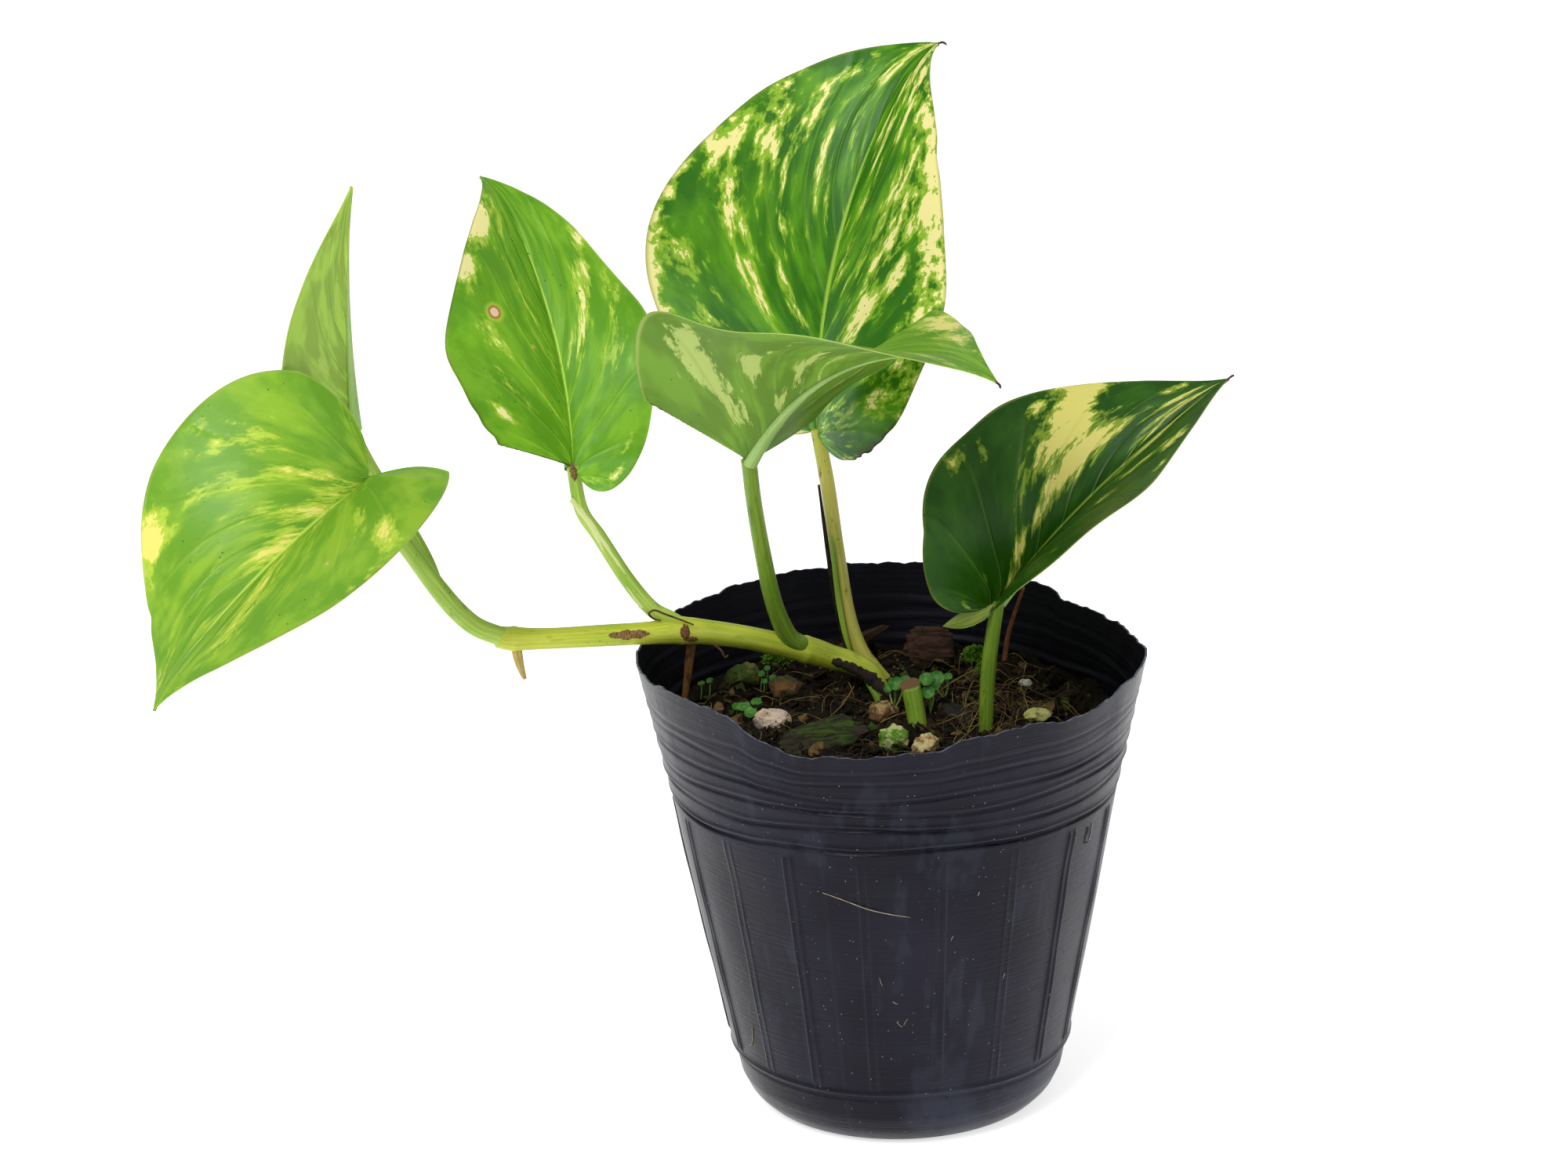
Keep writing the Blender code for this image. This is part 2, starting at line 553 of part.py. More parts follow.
def tube_mesh(name, extra=0.0):
    """A closed tube along a stalk, thicker all round by extra."""
    curve = bpy.data.curves.new(name, "CURVE")
    curve.dimensions = "3D"
    curve.bevel_depth = MM
    curve.bevel_resolution = 2
    curve.use_fill_caps = True
    points = stalk_points(name)
    for end, beside in ((0, 1), (-1, -2)):
        middle = Vector(points[end][:3])
        outward = (middle - Vector(points[beside][:3])).normalized()
        points[end] = (*(middle + outward * extra), points[end][3])
    line = curve.splines.new("POLY")
    line.points.add(len(points) - 1)
    for point, (x, y, z, thickness) in zip(line.points, points):
        point.co = (x * MM, y * MM, z * MM, 1)
        point.radius = thickness / 2 + extra
    holder = bpy.data.objects.new(name, curve)
    bpy.context.scene.collection.objects.link(holder)
    graph = bpy.context.evaluated_depsgraph_get()
    mesh = bpy.data.meshes.new_from_object(holder.evaluated_get(graph))
    bpy.data.objects.remove(holder)
    bpy.data.curves.remove(curve)
    bm = bmesh.new()
    bm.from_mesh(mesh)
    bpy.data.meshes.remove(mesh)
    bmesh.ops.remove_doubles(bm, verts=bm.verts, dist=0.01 * MM)
    return mesh_from(bm, name)


def make_stalks(parts, cutters):
    stalks = {}
    for name in STALKS:
        dry = name == "dry_strand"
        root = name.startswith("aerial_root")
        material = "dry_sheath" if dry else "aerial_root" if root else "stem"
        stalks[name] = add_object(name, tube_mesh(name), parts, material)
    for name in sorted({other for others in GROWS_FROM.values() for other in others}):
        add_cutter(name + "_cutter", tube_mesh(name, GAP), cutters)
    for name, others in GROWS_FROM.items():
        for other in others:
            cut_back(stalks[name], bpy.data.objects[other + "_cutter"])
    return stalks


def make_sheath(name, parts):
    """A dried strip: a flat ribbon that follows its points and curls round its stalk."""
    points, width, thickness = SHEATHS[name]
    centres = [Vector(p) + Vector((0, 0, POT_HEIGHT)) for p in spline(points, SHEATH_STEPS)]
    bm = bmesh.new()
    rows = []
    for i, centre in enumerate(centres):
        ahead = (centres[min(i + 1, SHEATH_STEPS - 1)] - centres[max(i - 1, 0)]).normalized()
        across = ahead.cross(Vector((0, 1, 0))).normalized()
        share = i / (SHEATH_STEPS - 1)
        half = width / 2 * (0.35 + 0.65 * sin(pi * (0.12 + 0.76 * share)))
        row = []
        for j in (-1, 0, 1):
            row.append(bm.verts.new((centre + across * half * j + Vector((0, 0.35 * abs(j), 0))) * MM))
        rows.append(row)
    for low, high in zip(rows, rows[1:]):
        for j in (0, 1):
            bm.faces.new((low[j], low[j + 1], high[j + 1], high[j]))
    strip = add_object(name, mesh_from(bm, name), parts, "dry_sheath")
    skin = strip.modifiers.new("Thickness", "SOLIDIFY")
    skin.thickness = thickness * MM
    skin.offset = 0
    return strip


# Things in the soil

def lump_mesh(name, half_sizes, roughness, seed, turn=(0, 0, 0), extra=0.0, level=2):
    """A closed uneven lump; extra makes it larger all round."""
    bm = bmesh.new()
    bmesh.ops.create_icosphere(bm, subdivisions=level, radius=1)
    for vertex in bm.verts:
        way = vertex.co.normalized()
        uneven = 1 + roughness * noise.noise(way * 1.6 + Vector((seed * 7.1, seed * 3.3, 0)))
        place = Vector(half * c for half, c in zip(half_sizes, way)) * uneven
        vertex.co = (place + place.normalized() * extra) * MM
    mesh = mesh_from(bm, name)
    mesh.transform(Euler([radians(angle) for angle in turn]).to_matrix().to_4x4())
    return mesh


def add_bedded(name, make_mesh, place, material, parts, cutters):
    """A piece and the slightly larger pit that it lies in, both at a place above the soil."""
    x, y, lift = place
    middle = (x * MM, y * MM, (soil_height(x, y) + lift) * MM)
    add_object(name, make_mesh(name, 0.0), parts, material).location = middle
    add_cutter(name + "_pit", make_mesh(name + "_pit", GAP), cutters).location = middle


def make_lumps(table, material, parts, cutters):
    for name, (place, half_sizes, turn, roughness, seed) in table.items():
        spin = turn if isinstance(turn, tuple) else (0, 0, turn)
        level = 1 if max(half_sizes) < SMALL_LUMP else 2

        def make_mesh(label, extra):
            return lump_mesh(label, half_sizes, roughness, seed, spin, extra, level)

        add_bedded(name, make_mesh, place, material, parts, cutters)


def make_seedlings(parts, cutters):
    """Each a thin stalk under one round, slightly domed leaf."""
    for name, ((x, y), height, radius) in SEEDLINGS.items():
        profile = (
            (0.0, height + 0.6), (radius * 0.5, height + 0.7), (radius * 0.9, height + 0.5), (radius, height),
            (radius * 0.6, height - 0.5), (0.45, height - 1.2), (0.5, -2.0), (0.0, -2.0),
        )

        def make_mesh(label, extra):
            return turned_mesh(label, [(r + extra if r else 0.0, z) for r, z in profile], SEEDLING_SEGMENTS)

        add_bedded(name, make_mesh, (x, y, 0.0), "seedling", parts, cutters)


def bed_in_soil(soil, cutters):
    """Cuts the soil clear of everything that stands or lies in it."""
    for name in FEET:
        add_cutter(name + "_pit", tube_mesh(name, GAP), cutters)
    for table in (STONES, BARK, MOSS, SEEDLINGS, FEET):
        for name in table:
            cut_back(soil, bpy.data.objects[name + "_pit"])


def main():
    clear_scene()
    parts = new_collection("potted_pothos")
    cutters = new_collection("cutters", hidden=True)
    for name in MATERIALS:
        new_material(name)
    make_pot(parts, cutters)
    soil = make_soil(parts)
    for name in LEAVES:
        make_leaf(name, parts)
    make_stalks(parts, cutters)
    for name in SHEATHS:
        make_sheath(name, parts)
    make_lumps(STONES, "stone", parts, cutters)
    make_lumps(BARK, "bark", parts, cutters)
    make_lumps(MOSS, "moss", parts, cutters)
    make_seedlings(parts, cutters)
    bed_in_soil(soil, cutters)


main()
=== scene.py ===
"""Looks of the potted pothos: fine leaves, stalks, pot, soil and the small things in it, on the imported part.

Lengths are in millimetres until a mesh is made. +X is to the right seen from the front (-Y), +Z is up, and
the origin is the middle of the pot's underside.
"""

from math import cos, pi, radians, sin

import bmesh
import bpy
import numpy as np
from mathutils import Matrix, Vector, noise

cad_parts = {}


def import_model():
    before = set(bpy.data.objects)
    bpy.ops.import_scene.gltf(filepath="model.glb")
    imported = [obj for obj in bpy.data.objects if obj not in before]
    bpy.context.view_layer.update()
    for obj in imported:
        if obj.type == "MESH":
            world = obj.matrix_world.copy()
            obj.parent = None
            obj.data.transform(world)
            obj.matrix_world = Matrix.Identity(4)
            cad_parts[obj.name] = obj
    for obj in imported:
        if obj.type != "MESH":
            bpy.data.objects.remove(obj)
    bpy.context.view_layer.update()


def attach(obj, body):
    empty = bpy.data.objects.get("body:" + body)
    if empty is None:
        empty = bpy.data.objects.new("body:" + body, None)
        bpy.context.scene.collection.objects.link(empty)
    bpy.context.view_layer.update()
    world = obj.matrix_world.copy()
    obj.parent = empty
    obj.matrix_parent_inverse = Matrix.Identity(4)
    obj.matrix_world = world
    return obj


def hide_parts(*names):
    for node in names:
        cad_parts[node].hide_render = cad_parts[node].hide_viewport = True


MM = 0.001

# Pot
RIM_RADIUS = 60.0
POT_HEIGHT = 111.0
FOOT_RADIUS = 31.0
FOOT_BAND_RADIUS = 40.3
FOOT_BAND_HEIGHT = 14.5
COLLAR_RADIUS = 53.2
COLLAR_HEIGHT = 80.5
FILM = 0.5  # thickness of the pot's wall as it shows at the rim
GROOVES = (  # height, depth
    (80.5, 0.75), (86.0, 0.55), (91.0, 0.5), (95.5, 0.4), (100.5, 0.22), (104.0, 0.15),
)
RIBS = 18
RIB_HALF_GAP = 0.95  # each rib is a pair of thin ridges, this far either side of its middle
RIM_CUT = (  # degrees round the pot, how far the rim stands above its mean height
    (-180, 1.0), (-165, 1.8), (-148, 3.2), (-130, 2.4), (-123, -2.5), (-113, -5.4), (-98, -4.8), (-85, -3.8),
    (-72, -1.0), (-62, -0.4), (-45, -2.0), (-25, 0.2), (-8, 0.0), (8, -1.8), (30, -1.6), (42, -1.3),
    (46, 1.0), (60, 2.0), (92, 3.8), (115, 3.4), (138, 2.2), (158, 0.8), (180, 1.0),
)
DRAIN_HOLES = 6
DRAIN_HOLE_RADIUS = 3.5
DRAIN_RING_RADIUS = 21.0

# Soil
SOIL_DEPTH = 19.0
SOIL_RISE = 0.07

# Leaves: where the midrib starts; heading, climb and roll of the midrib; length; left and right half width;
# fold at the base and at the tip, cupping and lobe size; curl, sweep, twist and curl of the tip; the wave of
# the edge.
MIDRIB_STEPS = 40
VEINS = 8.5  # pairs of side veins
QUILT = 0.07  # how far the blade swells between them
CHANNEL_DEPTH = 0.3  # of the furrow over the midrib
LEAF_OUTLINE = (
    (0.0, 0.0), (-0.05, 0.10), (-0.085, 0.26), (-0.085, 0.46), (-0.03, 0.70), (0.09, 0.91), (0.24, 1.0),
    (0.40, 0.975), (0.55, 0.85), (0.69, 0.64), (0.80, 0.42), (0.885, 0.22), (0.945, 0.09), (1.0, 0.0),
)
LEAVES = {
    "leaf_rear": dict(
        base=(-15.5, 38, 156), aim=(55, 88, -11), length=102, width=(51, 41), fold=((-7, 48), (30, 8)),
        cup=(13, -38), lobe=(0.4, 0.43), bend=(-44, 3, -6, -31), wave=(-1.5, 2.1, -0.04),
    ),
    "leaf_front": dict(
        base=(-32, 0, 160), aim=(-46, 54, -25), length=93, width=(34, 38), fold=((34, -19), (37, 24)),
        cup=(0, 0), lobe=(-0.24, -0.22), bend=(-61, -9, 48, -43), wave=(-2.9, 2.0, -0.25),
    ),
    "leaf_left": dict(
        base=(-73.5, 8, 157.5), aim=(92, 47, 19), length=85, width=(31, 22), fold=((24, 13), (39, 22)),
        cup=(-19, -7), lobe=(-0.2, 1.04), bend=(-8, -25, 10, -37), wave=(2.6, 2.0, 0.03),
    ),
    "leaf_drooping": dict(
        base=(-120, -12, 162), aim=(234, -14, -22), length=78, width=(35, 39), fold=((45, 7), (43, -15)),
        cup=(-24, -8), lobe=(0.28, 0.88), bend=(-36, 10, 28, -16), wave=(0.5, 1.8, -0.16),
    ),
    "leaf_upright": dict(
        base=(-126, 18, 166), aim=(-87, 69, 60), length=71, width=(26, 22), fold=((33, 25), (11, 19)),
        cup=(0, 0), lobe=(0.5, 0.5), bend=(-9, 1, 2, -3), wave=(-0.2, 2.0, 0.0),
    ),
    "leaf_right": dict(
        base=(25.5, -2, 124), aim=(32, 41, 31), length=77, width=(33, 33), fold=((55, 11), (68, 26)),
        cup=(-30, -10), lobe=(1.5, 0.8), bend=(1, 18, -21, -5), wave=(1.2, 2.05, 0.14),
    ),
}
# Cream patches on the left (-1) and right (1) half: how far along the edge their vein ends, how far out, half
# width across the veins, half length along them, strength.
PATCHES = {
    "leaf_rear": {
        -1: (
            (0.12, 0.55, 0.09, 0.5, 0.9), (0.34, 1.03, 0.16, 0.06, 1.2), (0.48, 1.02, 0.1, 0.07, 1.1),
            (0.56, 1, 0.05, 0.06, 0.8), (0.5, 0.8, 0.02, 0.1, 0.6), (0.54, 0.55, 0.02, 0.2, 0.55),
            (0.6, 0.7, 0.02, 0.16, 0.7), (0.64, 0.88, 0.025, 0.1, 0.85), (0.69, 0.74, 0.03, 0.14, 0.85),
            (0.72, 0.9, 0.02, 0.08, 0.8), (0.66, 0.5, 0.012, 0.16, 0.6), (0.74, 0.62, 0.02, 0.14, 0.7),
            (0.705, 0.33, 0.014, 0.1, 0.8), (0.66, 0.18, 0.012, 0.08, 0.7), (0.44, 0.18, 0.014, 0.1, 0.8),
            (0.4, 0.6, 0.02, 0.12, 0.6), (0.45, 0.38, 0.012, 0.12, 0.6), (0.58, 0.36, 0.01, 0.12, 0.5),
            (0.88, 0.5, 0.03, 0.16, 0.6), (0.95, 0.6, 0.05, 0.3, 0.7), (0.82, 0.8, 0.03, 0.1, 0.5),
        ),
        1: (
            (0.48, 0.92, 0.07, 0.14, 0.75), (0.58, 0.96, 0.08, 0.2, 0.8), (0.66, 0.94, 0.07, 0.22, 0.75),
            (0.6, 0.6, 0.03, 0.22, 0.85), (0.67, 0.62, 0.022, 0.26, 0.8), (0.76, 0.96, 0.08, 0.2, 0.72),
            (0.46, 0.4, 0.03, 0.18, 0.75), (0.53, 0.62, 0.02, 0.18, 0.7), (0.4, 0.8, 0.03, 0.12, 0.6),
            (0.53, 0.13, 0.02, 0.06, 0.8), (0.66, 0.26, 0.02, 0.08, 0.7), (0.76, 0.3, 0.02, 0.16, 0.8),
            (0.83, 0.28, 0.025, 0.16, 0.85), (0.8, 0.66, 0.02, 0.2, 0.7), (0.86, 0.8, 0.03, 0.2, 0.8),
            (0.94, 0.7, 0.05, 0.3, 0.85), (0.22, 0.35, 0.08, 0.25, 0.5), (0.24, 0.9, 0.06, 0.06, 0.7),
        ),
    },
    "leaf_left": {
        -1: (
            (0.78, 0.92, 0.065, 0.16, 1.15), (0.84, 0.7, 0.05, 0.25, 0.5), (0.655, 0.95, 0.03, 0.14, 0.9),
            (0.62, 0.82, 0.02, 0.12, 0.5), (0.64, 0.3, 0.02, 0.16, 0.6), (0.53, 0.62, 0.02, 0.12, 0.7),
            (0.4, 0.52, 0.025, 0.16, 0.6), (0.37, 0.72, 0.018, 0.08, 0.7), (0.48, 0.13, 0.03, 0.1, 0.5),
            (0.7, 0.48, 0.012, 0.08, 0.5), (0.83, 0.42, 0.03, 0.16, 0.45), (0.35, 0.22, 0.03, 0.16, 0.3),
        ),
        1: (
            (0.47, 0.1, 0.02, 0.1, 0.6), (0.55, 0.3, 0.022, 0.14, 0.65), (0.6, 0.45, 0.028, 0.2, 0.85),
            (0.64, 0.66, 0.024, 0.2, 0.75), (0.7, 0.9, 0.022, 0.16, 0.6), (0.26, 0.88, 0.035, 0.05, 0.9),
            (0.33, 0.82, 0.025, 0.05, 0.6), (0.15, 0.7, 0.04, 0.12, 0.5), (0.5, 0.64, 0.05, 0.18, 0.48),
            (0.58, 0.78, 0.03, 0.14, 0.5),
        ),
    },
    "leaf_drooping": {
        -1: (
            (0.47, 0.78, 0.022, 0.16, 0.75), (0.42, 0.45, 0.02, 0.16, 0.5), (0.44, 0.12, 0.05, 0.12, 0.45),
            (0.66, 0.22, 0.05, 0.2, 0.65), (0.72, 0.46, 0.035, 0.22, 0.65), (0.55, 0.98, 0.05, 0.05, 0.5),
            (0.76, 0.3, 0.02, 0.16, 0.4),
        ),
        1: (
            (0.25, 0.1, 0.05, 0.1, 0.7), (0.36, 0.08, 0.1, 0.09, 0.75), (0.52, 0.06, 0.09, 0.07, 0.75),
            (0.29, 0.22, 0.022, 0.14, 0.75), (0.36, 0.32, 0.024, 0.16, 0.7), (0.44, 0.68, 0.05, 0.18, 0.5),
            (0.47, 0.88, 0.03, 0.1, 0.5), (0.51, 0.6, 0.03, 0.25, 0.45), (0.63, 0.92, 0.04, 0.16, 0.85),
            (0.67, 0.34, 0.022, 0.08, 0.6), (0.78, 0.14, 0.05, 0.08, 0.5), (0.8, 0.6, 0.015, 0.12, 0.4),
            (0.48, 0.28, 0.03, 0.14, 0.5), (0.92, 0.8, 0.05, 0.3, 0.5),
        ),
    },
    "leaf_upright": {
        1: (
            (0.48, 0.36, 0.04, 0.2, 0.5), (0.72, 0.45, 0.04, 0.3, 0.35),
        ),
    },
    "leaf_right": {
        -1: (
            (0.22, 0.07, 0.05, 0.07, 0.8), (0.34, 0.17, 0.05, 0.06, 0.95), (0.45, 0.19, 0.05, 0.06, 0.95),
            (0.54, 0.26, 0.065, 0.09, 1), (0.62, 0.34, 0.07, 0.14, 1.25), (0.615, 0.52, 0.055, 0.14, 1.2),
            (0.645, 0.72, 0.042, 0.18, 1.2), (0.68, 0.95, 0.036, 0.14, 1.2), (0.6, 0.84, 0.02, 0.1, 0.8),
            (0.56, 0.52, 0.03, 0.16, 0.6), (0.5, 0.42, 0.06, 0.22, 0.36), (0.56, 0.6, 0.05, 0.24, 0.36),
            (0.49, 0.8, 0.012, 0.08, 0.7), (0.455, 0.9, 0.016, 0.07, 0.8), (0.78, 0.12, 0.05, 0.05, 0.8),
            (0.83, 0.3, 0.022, 0.12, 0.9), (0.86, 0.55, 0.022, 0.2, 1), (0.84, 0.82, 0.022, 0.14, 0.85),
            (0.9, 0.34, 0.035, 0.24, 0.9), (0.7, 0.3, 0.012, 0.06, 0.5), (0.14, 0.72, 0.05, 0.05, 0.6),
            (0.25, 0.42, 0.02, 0.07, 0.45),
        ),
        1: (
            (0.75, 0.14, 0.09, 0.1, 1.1), (0.86, 0.16, 0.06, 0.1, 1), (0.56, 0.46, 0.022, 0.1, 0.75),
            (0.67, 0.46, 0.018, 0.16, 0.75), (0.73, 0.76, 0.03, 0.12, 1), (0.41, 0.72, 0.01, 0.05, 0.7),
            (0.66, 0.9, 0.014, 0.06, 0.8), (0.6, 0.25, 0.02, 0.08, 0.5), (0.12, 0.5, 0.06, 0.4, 0.7),
        ),
    },
    "leaf_front": {
        -1: (
            (0.36, 0.4, 0.04, 0.14, 0.5), (0.43, 0.52, 0.02, 0.12, 0.5), (0.66, 0.84, 0.06, 0.14, 0.9),
            (0.76, 0.8, 0.08, 0.16, 0.6), (0.56, 0.92, 0.05, 0.06, 0.5),
        ),
        1: (
            (0.44, 0.68, 0.035, 0.2, 0.95), (0.4, 0.52, 0.02, 0.2, 0.8), (0.36, 0.36, 0.02, 0.16, 0.65),
            (0.3, 0.2, 0.02, 0.1, 0.6), (0.56, 0.2, 0.03, 0.14, 0.7), (0.47, 0.36, 0.028, 0.1, 0.75),
            (0.4, 0.08, 0.06, 0.04, 0.6), (0.6, 0.55, 0.02, 0.2, 0.5), (0.8, 0.5, 0.03, 0.4, 0.5),
        ),
    },
}
# Where a leaf's edge is bitten or worn back: side, how far along the edge, half length, depth in half widths.
BITES = {
    "leaf_left": ((-1, 0.24, 0.09, 0.09), (-1, 0.335, 0.02, 0.05), (-1, 0.375, 0.015, 0.03)),
    "leaf_rear": ((1, 0.30, 0.07, 0.10), (1, 0.70, 0.02, 0.03)),
    "leaf_drooping": ((1, 0.74, 0.015, 0.03),),
}
# Leaf tips: how much of the length is burnt, and a dried thread at the end (forward, right, up).
TIPS = {
    "leaf_rear": (0.006, ((0.5, 0.3, 0.0), (0.9, 1.0, -0.2), (0.8, 1.7, -0.5))),
    "leaf_right": (0.010, ((0.5, 0.0, 0.1), (1.0, 0.0, 0.1), (1.5, 0.1, 0.0))),
    "leaf_front": (0.010, ((0.4, 0.0, 0.0), (0.8, 0.1, -0.2), (1.1, 0.2, -0.4))),
}
# Dried spots with a brown ring: side, how far along the edge, how far out, radius in millimetres.
SPOTS = {
    "leaf_left": ((-1, 0.58, 0.61, 1.7), (-1, 0.51, 0.28, 0.5)),
    "leaf_drooping": ((-1, 0.55, 0.60, 0.5),),
}

# Stalks: the points that each follows, with its thickness there.
STALKS = {
    "vine_stem": (
        (-1, 24, 89, 4.5), (-4, 25, 97, 5.0), (-9, 25, 100.5, 5.4), (-14, 24, 102.5, 6.0),
        (-19.5, 21, 105.5, 6.6), (-25.5, 18, 108, 5.8), (-34.5, 13, 112, 5.6), (-44, 9, 115, 6.0),
        (-49.5, 7, 116.2, 6.4),
        (-57.5, 4, 116.9, 5.4), (-68, 2, 117.3, 5.2), (-81, 0, 117.7, 5.0), (-89, -2, 118.6, 5.6),
        (-92.5, -3.3, 119.6, 5.2),
    ),
    "petiole_rear": (
        (2, 32, 89, 4.6), (-4, 32, 97, 4.4), (-7.2, 32, 102.5, 4.2), (-9.7, 32.5, 111.5, 4.0),
        (-11.7, 34, 127, 3.8), (-13.4, 36, 142.5, 3.7), (-15.5, 38, 156, 3.4),
    ),
    "petiole_front": (
        (-20, 20.7, 106, 4.4), (-21.8, 19, 108, 5.0), (-24.5, 16.5, 111.5, 4.8), (-27.5, 12, 121.5, 4.3),
        (-29.7, 7, 136, 4.0), (-31.2, 3, 149, 3.8), (-32, 0, 160, 3.8),
    ),
    "petiole_left": (
        (-46.5, 8.2, 115.6, 3.4), (-52, 8, 118.9, 4.2), (-56.6, 8, 122, 4.0), (-62, 8, 129.4, 3.8),
        (-68, 8, 140, 3.6), (-72, 8, 147, 3.4), (-73.5, 8, 157.5, 3.2),
    ),
    "petiole_drooping": (
        (-90.5, -2.5, 119, 4.8), (-97, -5, 122.8, 4.8), (-101.3, -6.3, 127.2, 4.9), (-105.4, -8, 133.4, 4.8),
        (-110.4, -9, 141.6, 4.4), (-115.3, -10, 149.7, 4.0), (-118.4, -11, 156.8, 3.6), (-120, -12, 162, 3.4),
    ),
    "petiole_upright": (
        (-105.2, -7.6, 133, 2.2), (-106.3, -4.2, 134.6, 2.8), (-108.2, -0.5, 138, 3.1),
        (-111.3, 3.6, 142.8, 3.2), (-116.6, 9.5, 150, 3.2), (-122, 15, 158, 3.0), (-126, 18, 166, 2.8),
    ),
    "petiole_right": (
        (22, 0.5, 86, 3.4), (22.2, 0, 92.5, 3.5), (22.5, 0, 99.5, 3.6), (23.1, 0, 107, 3.6),
        (24, -0.5, 114, 3.5), (25.5, -2, 124, 3.2),
    ),
    "cut_stub": ((6.2, 2, 86, 5.0), (5.9, 2.2, 92, 4.7), (5.3, 3, 97, 4.6), (4.4, 4, 102, 4.8)),
    "side_shoot": ((-1.2, 18.5, 88, 2.6), (-2.8, 19.5, 93.2, 2.4), (-5.0, 20.5, 96.6, 1.6)),
    "aerial_root_outer": (
        (-88.4, -1.8, 118, 2.4), (-88.2, -2, 114.5, 2.4), (-87.6, -2.4, 111.5, 1.8), (-86.8, -2.8, 109, 1.0),
    ),
    "aerial_root_inner": (
        (-46.8, 8, 115, 2.2), (-47.8, 8, 109.5, 2.2), (-48.6, 8, 104, 1.8), (-49.6, 8, 98, 1.3),
    ),
    "dry_strand": ((28.2, 36, 90, 1.3), (28.8, 36, 97, 1.3), (30, 36, 104, 1.1), (33.5, 35, 115, 0.8)),
}
NODE_RINGS = ((-20.5, 20.5, 106), (-49.5, 7, 116.2), (-89, -2, 118.6))  # where the vine's joints swell
STONES = {
    # Middle above the soil (x, y, lift), half sizes, turn, roughness of the shape, seed, look.
    "stone_pink": ((-29, 5, 1.2), (5.2, 4.2, 3.4), 10, 0.14, 1, "pink"),
    "stone_mossy": ((-35, 30, 1.8), (5.0, 4.2, 3.6), -20, 0.26, 2, "mossy"),
    "stone_orange": ((-25, 25, 1.4), (4.6, 4.0, 3.4), 30, 0.30, 3, "orange"),
    "stone_knobbly": ((-2.5, 6, 1.6), (4.3, 3.6, 3.2), 0, 0.34, 4, "knobbly"),
    "stone_lime_green": ((-0.5, -10, 1.6), (4.4, 3.4, 4.0), 15, 0.30, 5, "lime_green"),
    "stone_lime_tan": ((7.4, -12.5, 1.2), (3.4, 3.0, 3.6), -10, 0.26, 6, "lime_tan"),
    "stone_flat": ((2.5, -20.5, 0.8), (5.2, 3.2, 1.8), 5, 0.14, 7, "flat"),
    "stone_yellow": ((34.5, 1, 0.6), (4.0, 3.0, 2.2), 12, 0.16, 8, "yellow"),
    "stone_white": ((33, 24, 0.8), (1.8, 1.5, 1.5), 0, 0.18, 9, "white"),
}
BARK = {
    "bark_slab": ((-17, -6, 1.4), (11.5, 6.0, 1.5), (14, -8, 18), 0.22, 21),
    "bark_red": ((11, 42, 4.6), (6.2, 2.2, 5.2), (-24, 6, 4), 0.20, 22),
    "bark_chip": ((16.5, 7.5, 1.2), (4.6, 3.0, 1.2), (12, 18, -25), 0.24, 23),
    "bark_stick": ((-8, 45.5, 3.2), (9.5, 1.5, 1.3), (0, -24, 6), 0.16, 24),
}
MOSS = {
    # Middle above the soil (x, y, lift), half sizes, seed.
    "moss_right": ((24.0, 32.5, 0.6), (2.0, 2.0, 2.2), 31),
    "moss_back": ((22, 41.5, 0.8), (3.4, 2.6, 2.6), 32),
    "moss_left": ((-27, 40, 0.6), (3.6, 2.8, 2.4), 33),
}
SEEDLINGS = {
    # Foot, then each round leaf: middle above the soil and radius.
    "seedling_left": ((0.4, 12.4), ((1.0, 8.3, 8.6, 1.7), (3.6, 12.0, 8.0, 1.5), (-0.6, 13.6, 5.0, 1.1))),
    "seedling_middle": ((9.2, 8.6), ((8.4, 6.6, 9.0, 1.7), (10.2, 8.3, 7.0, 1.6), (8.8, 5.6, 6.4, 1.6))),
    "seedling_right": ((13.0, 15.5), ((11.2, 12.6, 6.6, 1.8), (9.2, 15.6, 6.6, 1.5), (14.0, 16.4, 4.6, 1.1))),
}
STONE_LOOKS = {
    # Main colour, second colour, the dark colour of the pits, creases and lower side, share of the second
    # colour.
    "pink": ((206, 184, 164), (168, 146, 118), (34, 28, 20), 0.35),
    "mossy": ((104, 98, 44), (58, 74, 20), (24, 20, 10), 0.60),
    "orange": ((116, 84, 46), (84, 78, 52), (28, 21, 12), 0.55),
    "knobbly": ((158, 132, 88), (92, 62, 36), (34, 22, 12), 0.55),
    "lime_green": ((176, 180, 116), (84, 124, 34), (40, 46, 16), 0.60),
    "lime_tan": ((198, 182, 130), (132, 96, 52), (52, 36, 18), 0.52),
    "flat": ((188, 190, 130), (142, 148, 74), (66, 62, 32), 0.40),
    "yellow": ((176, 174, 104), (104, 104, 50), (46, 40, 20), 0.48),
    "white": ((190, 190, 180), (130, 130, 120), (60, 58, 50), 0.35),
}
